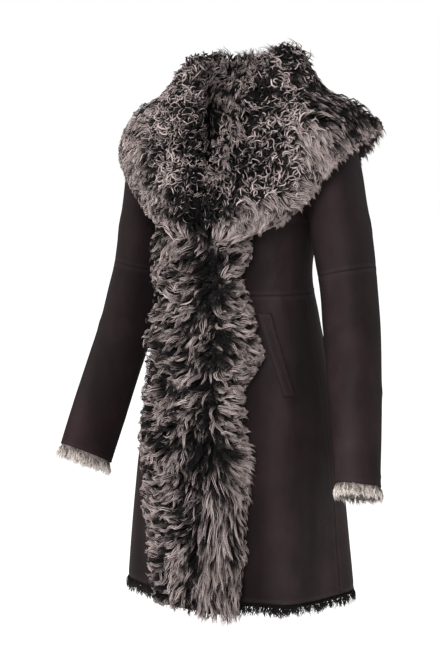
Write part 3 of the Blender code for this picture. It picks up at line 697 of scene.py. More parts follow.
def stitch(path, normals):
    """A row of stitches for later: each an arc along the path, sin(pi t) of half a thread high."""
    along = np.append(0.0, np.cumsum(np.linalg.norm(np.diff(path, axis=0), axis=-1)))
    starts = STITCH_PITCH * (np.arange(int(along[-1] / STITCH_PITCH) - 1) + 0.5)
    share = np.linspace(0.0, 1.0, 3)
    place = starts[:, None] + share * STITCH_LENGTH
    middle, outside = (np.stack([np.interp(place, along, part[:, i]) for i in range(3)], -1)
                       for part in (path, normals))
    middle = middle + outside * (THREAD_WIDTH * (0.5 * np.sin(np.pi * share) - 0.1))[:, None]
    each = np.ones((len(starts), 1))
    SEWING.append((middle, outside, {"width": THREAD_WIDTH * each, "tone": each, "pale_from": 0.0 * each}))


def sewn(name, node, outer, outwards, folds, shade, rows=(), columns=(), ring=False, wall=LEATHER_WALL):
    """A leather piece in place of a node: its grid with folds and puckers, dipping to its seams
    at the edges, and stitched along the given grid lines."""
    near = edge_distance(outer, ring)
    lift = folds + puckers(outer, near) - SEAM_DIP * np.exp(-(near / SEAM_WIDTH) ** 2)
    outer = outer + grid_normals(outer, ring, outwards) * lift[..., None]
    wear = np.exp(-((near - WEAR_WIDTH) / (0.6 * WEAR_WIDTH)) ** 2)
    marks = {"wear": wear, "shade": shade + 0.0 * wear}
    piece = cloth_wall(name, outer, wall, outwards, [LEATHER, INNER_WOOL], marks, ring)
    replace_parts(piece, node)
    normals = grid_normals(outer, ring, outwards)
    for row in rows:
        stitch(outer[row], normals[row])
    for column in columns:
        stitch(outer[:, column], normals[:, column])


print("wall:", LEATHER_WALL, "m, stitches a metre:", round(1 / STITCH_PITCH))

# %% [markdown]
# ## Skirt
# Three panels hang from the waist seam: two fronts and one wide back. Short creases run along
# the waist, and broad, shallow folds start a hand's width or more under it. They are placed in
# metres round the body, as one would chalk them on the coat. The arms press the coat in at the
# sides, and the leather there and beside the fur is marked as shaded.

# %% Folds of the body
BODY_FOLDS = (
    # metres round the body from the middle front (left positive), height, tilt in degrees,
    # half length, half width, depth, bend
    (0.150, -0.345, -62, 0.030, 0.0060, 0.0012, 2.0),
    (0.185, -0.350, -80, 0.035, 0.0065, 0.0014, -1.0),
    (0.110, -0.347, -70, 0.026, 0.0050, 0.0010, 3.0),
    (-0.120, -0.346, 66, 0.030, 0.0055, 0.0012, 2.0),
    (-0.165, -0.352, 78, 0.036, 0.0065, 0.0014, -2.0),
    (0.060, -0.350, 82, 0.028, 0.0055, 0.0010, 1.0),
    (0.175, -0.300, 70, 0.026, 0.0060, 0.0011, 2.0),
    (0.135, -0.295, 60, 0.030, 0.0060, 0.0012, -3.0),
    (-0.150, -0.297, -66, 0.030, 0.0060, 0.0012, 2.0),
    (-0.095, -0.292, -75, 0.026, 0.0055, 0.0010, 1.0),
    (0.120, -0.500, 74, 0.070, 0.0120, -0.0016, 0.6),
    (0.200, -0.560, 86, 0.110, 0.0160, 0.0018, 0.3),
    (-0.180, -0.540, -84, 0.100, 0.0150, 0.0017, -0.4),
    (0.150, -0.700, 88, 0.100, 0.0150, 0.0018, 0.3),
    (-0.130, -0.680, 92, 0.110, 0.0140, 0.0016, 0.3),
    (0.260, -0.660, 84, 0.120, 0.0170, -0.0016, 0.2),
)
SIDE_FOLDS = (
    # metres round the body from the middle front, then the same: where each arm presses it in
    (0.215, -0.270, 90, 0.060, 0.0500, -0.0035, 0.0),
    (-0.215, -0.270, 90, 0.060, 0.0500, -0.0020, 0.0),
    (0.305, -0.272, 90, 0.065, 0.0500, -0.0050, 0.0),
    (-0.305, -0.272, 90, 0.065, 0.0500, -0.0030, 0.0),
)
BACK_FOLDS = (
    # metres from the middle of the back (left positive), then the same
    (0.000, -0.352, 88, 0.034, 0.0065, 0.0013, 1.0),
    (0.045, -0.350, 80, 0.030, 0.0060, 0.0014, 2.0),
    (-0.050, -0.349, 100, 0.032, 0.0060, 0.0013, -2.0),
    (0.100, -0.348, 72, 0.030, 0.0065, 0.0012, 1.0),
    (-0.105, -0.350, 106, 0.034, 0.0060, 0.0014, 2.0),
    (0.030, -0.298, 66, 0.032, 0.0065, 0.0014, 3.0),
    (-0.040, -0.296, 112, 0.036, 0.0060, 0.0013, -3.0),
    (0.085, -0.290, 50, 0.040, 0.0070, 0.0014, 2.0),
    (-0.090, -0.292, 128, 0.040, 0.0070, 0.0015, -2.0),
    (0.060, -0.560, 88, 0.110, 0.0150, 0.0018, 0.3),
    (-0.070, -0.600, 93, 0.120, 0.0160, 0.0018, -0.3),
    (0.150, -0.640, 86, 0.100, 0.0140, -0.0016, 0.3),
    (-0.160, -0.620, 95, 0.110, 0.0150, -0.0015, 0.3),
    (0.000, -0.700, 90, 0.090, 0.0160, 0.0016, 0.4),
)
MEAN_ROUND = 0.145        # mean radius of the body, which turns an angle into metres round it
FUR_SIDE = 0.62           # angle of the fur fronts' outer edges
FUR_SHADE = 0.16          # angle over which the leather beside them lightens
FUR_SHADE_DEPTH = 0.8
ARM_SHADE = 0.85
ARM_SHADE_REACH = 0.34
ARM_SHADE_LOW = -0.66     # the shade of the arms fades in over ARM_SHADE_FADE above this height
ARM_SHADE_FADE = 0.10


def leather_shade(angle, z):
    """Dark beside the fur, a bell over the angle beyond its edge, and dark under the arm, a bell
    over the cosine, which is 0 at the side."""
    beside_fur = FUR_SHADE_DEPTH * np.exp(-(np.maximum(np.abs(angle) - FUR_SIDE, 0.0) / FUR_SHADE) ** 2)
    under_arm = ARM_SHADE * np.exp(-(np.cos(angle) / ARM_SHADE_REACH) ** 2)
    return np.maximum(beside_fur, under_arm * smoothstep((z - ARM_SHADE_LOW) / ARM_SHADE_FADE))


def side_folds(angle, z):
    """Folds under the arms, met from both ends of the turn."""
    return sum(creases(SIDE_FOLDS, (angle - turn) * MEAN_ROUND, z) for turn in (0.0, 2 * np.pi))


def front_folds(angle, z):
    """Depth of the folds on a front, in metres."""
    return creases(BODY_FOLDS, angle * MEAN_ROUND, z) + side_folds(angle, z)


def back_folds(angle, z):
    """Depth of the folds on the back, in metres."""
    return creases(BACK_FOLDS, (np.pi - angle) * MEAN_ROUND, z) + side_folds(angle, z)


print("folds on the body:", len(BODY_FOLDS) + len(SIDE_FOLDS) + len(BACK_FOLDS))

# %% Skirt panels
SEAM_GAP = 0.00014        # space left between two panels
SEAM_ANGLE = 0.5 * SEAM_GAP / 0.14   # half of it, as an angle at a radius of 0.14 m
SIDE_ANGLE = HALF_TURN - SEAM_ANGLE


def from_parting(z, side, share, reach, gap=SEAM_ANGLE):
    """Angle at a share of the way from the parting of the fronts to reach."""
    first = parting_angle(z) + side * gap
    return first + share * (side * reach - first)


z = (WAIST_Z - SEAM_GAP / 2 + close_at_ends(56, length=0.49) * (HEM_Z - WAIST_Z))[::-1, None]
for word, side in SIDES:
    angle = from_parting(z, side, close_at_ends(34, length=0.25), SIDE_ANGLE)
    sewn("skirt_" + word, "front_skirt_" + word, body(angle, z), -side, front_folds(angle, z),
         leather_shade(angle, z), rows=(-3,), columns=(-3,))
angle = np.pi - (2 * close_at_ends(66, length=0.52)[None, :] - 1) * SIDE_ANGLE
sewn("skirt_back", "back_skirt", body(angle, z), 1.0, back_folds(angle, z),
     leather_shade(angle, z), rows=(-3,), columns=(2, -3))

# %% [markdown]
# ## Bodice
# The fronts run from the waist seam to the shoulder and leave a deep V for the collar. Below
# the armpit they follow the body's rings. Rings can't turn over a shoulder, so above it the
# panels are strokes that roll back over the chest to the shoulder line, pulled sideways onto
# the oval of the armhole. Both grids are joined into one before the panel gets its wall.

# %% Bodice panels
UPPER_FOLDS = (
    # share across the panel from the opening, metres above the armpit / 0.2, then as above
    (0.70, 0.10, 40, 0.30, 0.035, 0.0012, 0.5),
    (0.82, 0.22, 62, 0.26, 0.030, 0.0014, 0.4),
    (0.62, 0.02, 20, 0.25, 0.030, 0.0010, 0.6),
)
UPPER_FROM = 0.03         # the strokes start this share above the armpit ring
LOWER_TO = 0.004          # and the rings end this much below it
low_z = WAIST_Z + SEAM_GAP / 2 + close_at_ends(22, length=0.12) * (ARMPIT_Z - WAIST_Z)
low_z = np.append(low_z[low_z < ARMPIT_Z - LOWER_TO], ARMPIT_Z)[:, None]
rise = close_at_ends(34, length=0.2) * (1 - 0.5 * SEAM_GAP / SHOULDER_TURN)
rise = rise[rise > UPPER_FROM][:, None]
high_z = ARMPIT_Z + 0.0 * rise
edge = SEAM_ANGLE / HALF_TURN
for word, side in SIDES:
    share = close_at_ends(32, length=0.22)[None, :]
    angle = from_parting(low_z, side, share, SIDE_ANGLE)
    across = edge + share * (1 - 2 * edge)
    shade = [leather_shade(angle, low_z), leather_shade(across * HALF_TURN, high_z)]
    sewn("bodice_front_" + word, "front_bodice_" + word,
         np.concatenate([body(angle, low_z), front_upper(across, rise, side)]), -side,
         np.concatenate([front_folds(angle, low_z), creases(UPPER_FOLDS, across, rise)]),
         np.concatenate(shade), rows=(2,))
share = (2 * close_at_ends(64, length=0.46) - 1)[None, :]
angle = np.pi - share * SIDE_ANGLE
across = share * (1.0 - edge)
shade = [leather_shade(angle, low_z), leather_shade(np.pi - across * HALF_TURN, high_z)]
sewn("bodice_back", "back_bodice", np.concatenate([body(angle, low_z), back_upper(across, rise)]), 1.0,
     np.concatenate([back_folds(angle, low_z), 0.0 * share * rise]), np.concatenate(shade), rows=(2,))

# %% [markdown]
# ## Sleeves
# Each sleeve is pieced from two tubes with a seam round the upper arm. The arm is a little
# bent, so the front of the elbow is pressed into short folds and the back is smooth. Two
# mirrored sleeves would look made by a machine: the left one droops at the cuff and is drawn
# in along the lower arm, the right one along the upper arm. Both are painted with shade, the
# right one more, darker towards the body and with a painted highlight on the outer front.

# %% Folds of the sleeves
ARM_FOLDS = (
    # share of a turn from the outer side, over the front, ring number / 10, then as above
    (0.250, 0.560, 8, 0.110, 0.0120, 0.0018, 0.2),
    (0.300, 0.620, -10, 0.100, 0.0110, 0.0016, -0.2),
    (0.200, 0.660, 14, 0.090, 0.0110, 0.0014, 0.3),
    (0.270, 0.720, -6, 0.110, 0.0120, 0.0014, 0.2),
    (0.380, 0.590, 20, 0.080, 0.0100, 0.0013, 0.3),
    (0.120, 0.600, -16, 0.080, 0.0110, 0.0012, -0.3),
    (0.420, 0.200, 30, 0.120, 0.0150, 0.0018, 0.3),
    (0.500, 0.290, 14, 0.130, 0.0140, 0.0018, -0.3),
    (0.600, 0.220, -24, 0.120, 0.0140, 0.0018, 0.3),
    (0.100, 0.330, 24, 0.100, 0.0130, 0.0012, 0.4),
    (0.870, 0.350, -20, 0.110, 0.0130, 0.0012, 0.3),
    (0.800, 0.700, 10, 0.120, 0.0130, 0.0013, 0.2),
    (0.650, 0.780, -12, 0.110, 0.0120, 0.0013, 0.3),
    (0.300, 0.900, 8, 0.120, 0.0110, 0.0011, 0.2),
    (0.750, 0.930, -10, 0.110, 0.0110, 0.0011, 0.3),
    (0.400, 0.410, 90, 0.110, 0.0900, -0.0030, 0.0),
)
LEFT_ARM_FOLDS = ((0.000, 0.800, 90, 0.200, 0.1500, -0.0035, 0.0),)
RIGHT_ARM_FOLDS = (
    (0.000, 0.330, 90, 0.140, 0.1500, -0.0050, 0.0),
    (0.300, 0.440, 5, 0.070, 0.0060, -0.0016, 0.3),
    (0.270, 0.480, -7, 0.060, 0.0060, -0.0014, 0.2),
)
LEFT_CUFF_DROOP = 0.36
CUFF_DROOP_TURN = 0.35


def arm_folds(ring, side):
    """Folds of one sleeve at each ring and each share of the turn, met from both ends of it."""
    table = ARM_FOLDS + (RIGHT_ARM_FOLDS if side < 0 else LEFT_ARM_FOLDS)
    return creases(table, turn_share, ring / 10) + creases(table, turn_share - 1, ring / 10)


def cuff_droop(turn_angle, side):
    """How far the left sleeve's end, in rings, hangs lower on its outer side: a squared bell."""
    return LEFT_CUFF_DROOP * max(side, 0.0) * (0.5 + 0.5 * np.cos(turn_angle - CUFF_DROOP_TURN)) ** 2


turn_share = np.arange(56)[None, :] / 56
round_arm = turn_share * 2 * np.pi
print("folds on a sleeve:", len(ARM_FOLDS), "and its own", len(LEFT_ARM_FOLDS), "or", len(RIGHT_ARM_FOLDS))

# %% Sleeves
ARMHOLE_RING = 0.038      # sleeve ring that leans on the armhole
ARM_SEAM_GAP = 0.0012     # half the space at the cross seam, in rings
# painted shade over each whole sleeve, more on the right one
SLEEVE_SHADE = {"left": 0.40, "right": 0.70}
# painted shade on the side towards the body, and less of it on the outer front as a painted highlight
TURN_SHADES = ((0.46, 0.13, 0.45), (0.15, 0.05, -0.27))   # share of the turn, reach, how much darker


def sleeve_shade(word):
    """Painted shade of the sleeve, darker towards the body, with a painted highlight on the outer front: a
    sum of bells.
    """
    more = sum(depth * np.exp(-((turn_share - at) / reach) ** 2) for at, reach, depth in TURN_SHADES)
    return np.clip(SLEEVE_SHADE[word] + more, 0.0, 1.0)


for word, side in SIDES:
    droop = cuff_droop(round_arm, side)
    for part, low, high, rows, drop, stitched in (
            ("upper", ARMHOLE_RING, SLEEVE_SEAM - ARM_SEAM_GAP, 30, 0.0, (-3,)),
            ("lower", SLEEVE_SEAM + ARM_SEAM_GAP, SLEEVE_END, 46, droop, (2, -3))):
        ring = low + close_at_ends(rows, length=0.3)[:, None] * (high - low + drop)
        sewn("sleeve_" + part + "_arm_" + word, "sleeve_" + part + "_" + word,
             sleeve(round_arm, ring, side), -side, arm_folds(ring, side), sleeve_shade(word),
             rows=stitched, ring=True)

# %% [markdown]
# ## Seam tapes
# A seam in thick shearling is butted, not turned in, and backed with a narrow leather tape,
# glued and sewn on the inside, so that it lies flat and lets no light through. Each tape takes
# the panels' own surface and folds, moved in by more than the skin's thickness.

# %% Seam tapes
TAPE_DEPTH = 0.0034
TAPE_WALL = 0.0008
TAPE_HALF = 0.006         # half widths: of the waist tape in metres,
TAPE_HALF_ANGLE = 0.04    # of the side tapes as an angle
TAPE_HALF_RING = 0.14     # and of the sleeve tapes in rings
TAPE_CLEAR = 0.02         # the tapes stay this far from the armpit and the hem, and from the
                          # parting by the same as an angle
ACROSS_TAPE = np.linspace(-1, 1, 4)


def tape(name, line, outwards, folds=0.0, ring=False):
    """A thin wall just inside the skin, which follows the folds of its leather side."""
    depth = TAPE_DEPTH - folds + np.zeros(line.shape[:2])
    line = line - grid_normals(line, ring, outwards) * depth[..., None]
    cloth_wall("seam_tape_" + name, line, TAPE_WALL, outwards, [LEATHER] * 2, {}, ring)


z = WAIST_Z - TAPE_HALF * ACROSS_TAPE[:, None]
first = parting_angle(np.array(WAIST_Z)) + TAPE_CLEAR
tape("waist", body(first + np.linspace(0.0, 1.0, 140)[None, :] * (2 * np.pi - 2 * TAPE_CLEAR), z), 1.0)
z = np.linspace(ARMPIT_Z - TAPE_CLEAR, HEM_Z + TAPE_CLEAR, 60)[:, None]
for word, side in SIDES:
    angle = side * HALF_TURN + ACROSS_TAPE * TAPE_HALF_ANGLE
    tape("side_" + word, body(angle, z), 1.0, side_folds(angle, z))
    ring = SLEEVE_SEAM + ACROSS_TAPE[:, None] * TAPE_HALF_RING
    tape("sleeve_" + word, sleeve(round_arm, ring, side), -side, arm_folds(ring, side), ring=True)

# %% [markdown]
# ## Fleece as locks
# Fleece could be a hair system, but only meshes travel with the model, and a sheep's fleece does
# not lie as single hairs anyway: it gathers in locks of a few hundred, dark at the root and pale
# at the tip. So each lock here has a middle line that creeps over the skin: it rises from the
# root, then runs on at the height of the pile, waving or coiling as it goes. One to three
# tapering strands follow that line side by side. All the locks of a piece are one array.


# %% Unevenness
def uneven(points, size, seed):
    """Soft value from about -1 to 1 over space: mean of sines in seeded directions."""
    draws = np.random.default_rng(seed)
    ways = unit(draws.normal(size=(7, 3))) * (2 * np.pi / size) * draws.uniform(0.6, 1.5, (7, 1))
    starts = draws.uniform(0, 2 * np.pi, 7)
    return np.sin(points @ ways.T + starts).sum(-1) / 3.0


print("uneven at three places:", uneven(np.eye(3), 0.05, 1).round(2))

# %% A skin for locks to grow on
EVEN_STEPS = (0.7548776662, 0.5698402910)   # steps that fill a square evenly
SCATTER_TRIES = 24        # tries for each lock that is wanted
LEAST_STRIDE = 0.7        # least stride at the height of the pile, over the skin's own


class Skin:
    """A skin side held as a fine grid, with the depth of its pile: any place u, v from 0 to 1.
    It can be moved by shift along its normals."""

    def __init__(self, points, pile, outwards, shift=0.0):
        self.points = points
        self.pile = pile + np.zeros(points.shape[:2])
        self.normal = grid_normals(points, False, outwards)
        self.along_u = self.stride(0)
        self.along_v = self.stride(1)
        self.points = points + self.normal * shift

    def stride(self, axis):
        """Way along one axis of the skin, as long as the same stride at the height of the pile:
        over a tight roll that is several times the stride on the skin."""
        steps = self.points.shape[axis] - 1
        skin_step = np.gradient(self.points, axis=axis) * steps
        top_step = skin_step + self.pile[..., None] * np.gradient(self.normal, axis=axis) * steps
        least = LEAST_STRIDE * np.linalg.norm(skin_step, axis=-1)
        return unit(skin_step) * np.maximum(np.linalg.norm(top_step, axis=-1), least)[..., None]

    def read(self, table, u, v, beyond=False):
        """Value between the four nearest grid points; past the edges it may run on in a line."""
        rows, columns = table.shape[:2]
        down = u * (rows - 1)
        over = v * (columns - 1)
        if not beyond:
            down = np.clip(down, 0, rows - 1)
            over = np.clip(over, 0, columns - 1)
        i = np.clip(down.astype(int), 0, rows - 2)
        j = np.clip(over.astype(int), 0, columns - 2)
        f = down - i
        g = over - j
        if table.ndim == 3:
            f = f[:, None]
            g = g[:, None]
        return ((1 - f) * (1 - g) * table[i, j] + f * (1 - g) * table[i + 1, j]
                + (1 - f) * g * table[i, j + 1] + f * g * table[i + 1, j + 1])

    def place(self, u, v):
        """Point at u, v, also a little past the edges."""
        return self.read(self.points, u, v, beyond=True)

    def at(self, u, v):
        """Point, normal, the ways along u and v, and pile depth."""
        near = [self.read(table, u, v) for table in (self.normal, self.along_u, self.along_v, self.pile)]
        return [self.place(u, v), unit(near[0]), *near[1:]]

    def scatter(self, count, crowd, seed):
        """About count places: an even sequence of tries, each kept by its area times crowd."""
        area = np.linalg.norm(np.cross(self.along_u, self.along_v), axis=-1)
        tries = count * SCATTER_TRIES
        u, v = ((np.arange(tries)[:, None] * np.array(EVEN_STEPS) + 0.377 * seed) % 1.0).T
        weight = self.read(area, u, v) * crowd(u, v)
        draw = np.random.default_rng(seed).random(tries) * weight.sum() / count
        kept = draw < weight
        return u[kept], v[kept]


def everywhere(u, v):
    """The same crowd at every place."""
    return np.ones_like(u)


patch = Skin(xyz(*np.meshgrid(np.arange(3.0), np.arange(3.0)), 0.0), 0.1, 1.0)
print("places on a flat patch for 20 locks:", len(patch.scatter(20, everywhere, 1)[0]))

# %% [markdown]
# ### What tells one lock from another
# A curl, a wave and a combed lock differ in a few measures only, so each kind is a short list of
# them. The wool of the neck is the plainest, and the other kinds are written as changes to it.

# %% The plain lock
NECK_WOOL = {
    "length": (0.018, 0.030),      # least and most, in metres
    "width": (0.0034, 0.0050),
    "coil": (0.0006, 0.0018),      # radius of its waves
    "turns": (0.4, 1.0),           # number of its waves
    "top": (0.70, 1.20),           # height at which it runs, as a share of the pile
    "tone": (0.75, 1.15),          # brightness
    "stray": 0.35,                 # spread of its heading, in radians
    "droop": 0.10,                 # how strongly its heading turns downhill
    "round": 0.6,                  # height of its waves over their width
    "rise": 0.4,                   # share of its length in which it reaches its height
    "root": 0.30,                  # height of its root, as a share of the pile
    "rings": 4,
    "past": 0.008,                 # metres that it may hang over the skin's edge
    "stand": 0.0,                  # degrees that its waves lean forward
    "lift": 0.0,                   # height that its tip gains, over its length
    "sag": 0.0,                    # and depth that its tip hangs down
}
DOWN = np.array((0.0, 0.0, -1.0))
print("measures of a lock:", len(NECK_WOOL))


# %% Growing locks
def room_ahead(place, rate):
    """Metres to the skin's edge: what is left of 0..1, over the change a metre."""
    left = np.where(rate > 0, 1.0 - place, place)
    return np.maximum(left, 0.0) / np.maximum(np.abs(rate), 1e-6)


def grow(skin, u, v, way, style, seed, pale_from):
    """Middle lines of locks. Point k of a lock = skin + normal * height + coil radius *
    (cos t * aside + round * sin t * lean), while the foot steps along the heading, which
    way(u, v) gives for each place in radians from v towards u. A lock turns pale at the share
    pale_from of its length."""
    draws = np.random.default_rng(seed)
    count = len(u)
    own = {word: draws.uniform(*style[word], count)[:, None]
           for word in ("length", "width", "coil", "turns", "top", "tone")}
    own["pale_from"] = np.clip(pale_from + draws.normal(0, 0.10, count), 0.05, 1.2)[:, None]
    start = draws.uniform(0, 2 * np.pi, (count, 1))
    hand = np.where(draws.random((count, 1)) < 0.5, -1.0, 1.0)
    stray = draws.normal(0, style["stray"], count)
    past = draws.uniform(0.2, 1.0, count) * style["past"]
    tilt = np.radians(style["stand"])
    rings = style["rings"]
    middle = []
    outside = []
    for share in np.linspace(0, 1, rings + 1):
        point, normal, along_u, along_v, pile = skin.at(u, v)
        turn = (way(u, v) + stray)[:, None]
        heading = np.sin(turn) * unit(along_u) + np.cos(turn) * unit(along_v)
        fall = DOWN - (normal @ DOWN)[:, None] * normal
        heading = unit(heading + style["droop"] * (0.3 + share) * fall)
        rate_u = (heading * unit(along_u)).sum(-1) / np.linalg.norm(along_u, axis=-1)
        rate_v = (heading * unit(along_v)).sum(-1) / np.linalg.norm(along_v, axis=-1)
        if share == 0:
            room = np.minimum(room_ahead(u, rate_u), room_ahead(v, rate_v)) + past
            own["length"] = np.minimum(own["length"], room[:, None])
        aside = np.cross(normal, heading)
        rise = style["root"] + (own["top"] - style["root"]) * smoothstep(share / style["rise"])
        height = pile[:, None] * rise + style["lift"] * share**2 * own["length"]
        angle = start + hand * own["turns"] * 2 * np.pi * share
        coil = own["coil"] * smoothstep(share / 0.3)
        lean = normal * np.cos(tilt) + heading * np.sin(tilt)
        middle.append(point + normal * height + style["sag"] * share**2 * own["length"] * DOWN
                      + coil * (np.cos(angle) * aside + style["round"] * np.sin(angle) * lean))
        outside.append(normal)
        step = own["length"][:, 0] / rings
        u = u + step * rate_u
        v = v + step * rate_v
    return np.stack(middle, 1), np.stack(outside, 1), own


print("points of a lock's middle line:", NECK_WOOL["rings"] + 1)


# %% Sowing locks
def sow(skin, count, crowd, seeds, way, style, pale_from=0.4):
    """Scatter feet over a skin and grow locks from them; pale_from may differ from place to place."""
    u, v = skin.scatter(count, crowd, seeds[0])
    if callable(pale_from):
        pale_from = pale_from(u, v)
    return grow(skin, u, v, way, style, seeds[1], pale_from)


sown = sow(patch, 20, everywhere, (1, 2), lambda u, v: 0.0 * u, NECK_WOOL)
print(f"mean length of those locks: {sown[2]['length'].mean():.4f} m")


# %% Faces of strands
def strand_faces(count, rings):
    """Faces of many strands: four-sided ones between the rings, and three-sided closed ends."""
    each = 3 * rings + 1
    sides = [(3 * ring + c, 3 * ring + (c + 1) % 3, 3 * ring + (c + 1) % 3 + 3, 3 * ring + c + 3)
             for ring in range(rings - 1) for c in range(3)]
    last = 3 * (rings - 1)
    ends = [(0, 2, 1)] + [(last + c, last + (c + 1) % 3, each - 1) for c in range(3)]
    offset = (np.arange(count) * each)[:, None, None]
    return [(np.array(part)[None] + offset).reshape(-1, len(part[0])) for part in (sides, ends)]


print("faces of one strand of four rings:", sum(len(part) for part in strand_faces(1, 4)))

# %% Strands round the middle lines
CORNERS = np.radians((90.0, 210.0, 330.0))
STRAND_SHARE = 0.42       # width of one strand of a bundle, over the lock's
# painted shade, as in the shadow between strands: the two inner corners of each strand stay darker
SIDE_SHADE = 0.30         # how much later along the lock its two inner corners turn pale
PALE_SPREAD = 0.40        # share of its length in which a lock turns pale


def locks(name, grown, finish, strands=3, flat=0.7):
    """One mesh from many middle lines. Each strand has three corners a ring, one of them on
    the outside, swells after the root and tapers to a closed tip. The marks are pale, from 0
    at the dark root to 1 at the tip, with painted shade on each strand's two inner corners, and tone."""
    middle, outside = (np.concatenate([part[i] for part in grown]) for i in (0, 1))
    width, tone, pale_from = (np.concatenate([part[2][word] for part in grown])
                              for word in ("width", "tone", "pale_from"))
    draws = np.random.default_rng(1)
    along = unit(np.gradient(middle, axis=1))
    across = unit(np.cross(outside, along))
    upper = np.cross(along, across)
    count, rings = middle.shape[0], middle.shape[1] - 1
    share = np.linspace(0, 1, rings + 1)
    swell = (0.55 + 0.45 * smoothstep(share / 0.35)) * (1 - share**1.8)
    bundle = 0.80 + 0.30 * np.sin(np.pi * share) - 0.50 * share**2
    own_width = width * (STRAND_SHARE if strands > 1 else 1.0)
    half = (0.5 * own_width * swell)[:, :-1, None, None]
    rim = (np.cos(CORNERS)[:, None] * across[:, :-1, None]
           + flat * np.sin(CORNERS)[:, None] * upper[:, :-1, None])
    shaded = np.repeat(share[:-1], 3) - SIDE_SHADE * np.tile((0.0, 1.0, 1.0), rings)
    pale = smoothstep((np.append(shaded, 1.0) - pale_from) / PALE_SPREAD)
    points = []
    tones = []
    for strand in range(strands):
        place = (strand - 0.5 * (strands - 1)) / max(strands, 2)
        sideways = 1.1 * place + draws.uniform(-0.18, 0.18, (count, 1))
        height = draws.uniform(-0.25, 0.25, (count, 1))
        away = sideways[..., None] * across + height[..., None] * upper
        line = middle + (width * bundle)[..., None] * away
        pulled = draws.uniform(-0.3, 0.5, (count, 1))
        line[:, -1] += pulled * (line[:, -2] - line[:, -1])
        corners = line[:, :-1, None] + half * rim
        points.append(np.concatenate([corners.reshape(count, -1, 3), line[:, -1:]], axis=1))
        tones.append(np.repeat(tone * draws.uniform(0.85, 1.15, (count, 1)), 3 * rings + 1, axis=1))
    faces = strand_faces(strands * count, rings)
    marks = {"pale": np.concatenate([pale] * strands), "tone": np.concatenate(tones)}
    put_mesh(name, np.concatenate(points).reshape(-1, 3), faces, [finish], marks)
    print(f"{name}: {count} locks, {strands * count * (6 * (rings - 1) + 4)} triangles")


print(f"strands in the neck are up to {STRAND_SHARE * NECK_WOOL['width'][1]:.4f} m wide")

# %% [markdown]
# ## Fleece finish
# The root half of a lock is nearly black. The colour turns through brown to a greyish pink
# taupe near the tip, and every lock takes a tone of its own. A hair shader would cost more and
# not travel with the model, so each lock is plain and rough, and its vertices hold its marks.
# The under-fleece, seen only between locks, is the dark root colour with a few pale windings.


# %% Fleece finishes
def fleece(name, root, middle, tip):
    """Colour from root to tip, times each strand's own tone."""
    finish = Finish(name, roughness=0.75, specular_ior_level=0.18)
    pale = finish.mark("pale")
    tone = finish.mark("tone")
    colour = finish.mix(pale.between(0.0, 0.45), (*root, 1), (*middle, 1))
    colour = finish.mix(pale.between(0.35, 1.0), colour, (*tip, 1))
    return finish.look(base_color=finish.mix(1.0, colour, finish.grey(tone), "MULTIPLY"))


def deep_fleece(name, dark, light, marked=False):
    """The depth between the locks: winding strands over the dark, as far as the pale mark."""
    finish = Finish(name, roughness=0.85, specular_ior_level=0.12)
    strands = finish.curls(150.0, 0.045) * 0.6 + finish.curls(310.0, 0.06) * 0.5
    colour = finish.mix(strands * (finish.mark("pale") if marked else 1.0), (*dark, 1), (*light, 1))
    return finish.look(base_color=colour, normal=finish.bump(strands, 0.003))


TAUPE = fleece("taupe_fleece", (0.007, 0.0063, 0.0066), (0.105, 0.080, 0.075), (0.74, 0.615, 0.59))
CREAM = fleece("cream_fleece", (0.10, 0.085, 0.08), (0.40, 0.34, 0.31), (0.86, 0.78, 0.73))
BLACK = fleece("black_fleece", (0.008, 0.007, 0.0065), (0.018, 0.015, 0.014), (0.042, 0.035, 0.032))
UNDER = deep_fleece("under_fleece", (0.005, 0.0045, 0.005), (0.34, 0.285, 0.27), marked=True)
UNDER_CREAM = deep_fleece("under_cream_fleece", (0.30, 0.25, 0.23), (0.72, 0.64, 0.59))
UNDER_BLACK = deep_fleece("under_black_fleece", (0.008, 0.007, 0.0065), (0.032, 0.027, 0.025))
print("fleece:", TAUPE.name, CREAM.name, BLACK.name, UNDER.name)

# %% [markdown]
# ## Collar
# The collar is one wide piece, sewn to the V of the neck. It rises, rolls over and falls on
# the shoulders and far down the front. It could be sculpted as one soft mass, but then its
# locks would have no skin to follow. So its skin side runs through five lines: the seam, the
# stand, the roll, the middle of the fall and the outer edge. The fleece stands on its outside.

# %% Collar measures
COLLAR_PILE = 0.024       # depth of its fleece,
COLLAR_ROOT_PILE = 0.003  # and that at the neck seam
COLLAR_SEAT = 0.0008      # air between its skin and the bodice
COLLAR_STAND = 0.006      # length that stands straight off the bodice
SHIFT_OVER = 4.0          # stations in which it leaves the parting for the middle of the coat
EDGE_SHIFT = 0.8          # how much of that shift its outer edge takes part in
TURN_OVER = 1.5           # stations in which its stand turns from forward to upright
COLLAR_KNOTS = (0.0, 0.07, 0.34, 0.70, 1.0)   # place of the five lines across it
ROUND_FROM = 0.80         # place across where the fleece begins to round off to the edge,
EDGE_ROUND = 0.95         # and the part of a quarter circle that it follows
FLAT_BY = 0.70            # the fleece is pressed flat over the shoulders, by this share,
FLAT_STATION = 4.8        # most at this station and place across,
FLAT_AT = 0.57
FLAT_ALONG = 1.4          # and over this reach along and across
FLAT_ACROSS = 0.15
RIGHT_CREST = 0.89        # height of the right half over the left, above the shoulder line
NECK_STATION = 4.5        # where the neckline passes from the front to the back
COLLAR_ROOTS = (
    # the seam at the front's stations: rise over the panel, and metres in from its opening edge
    (0.00, 0.015), (0.16, 0.012), (0.42, 0.005), (0.70, 0.001), (0.93, 0.0), (1.0, 0.0),
)
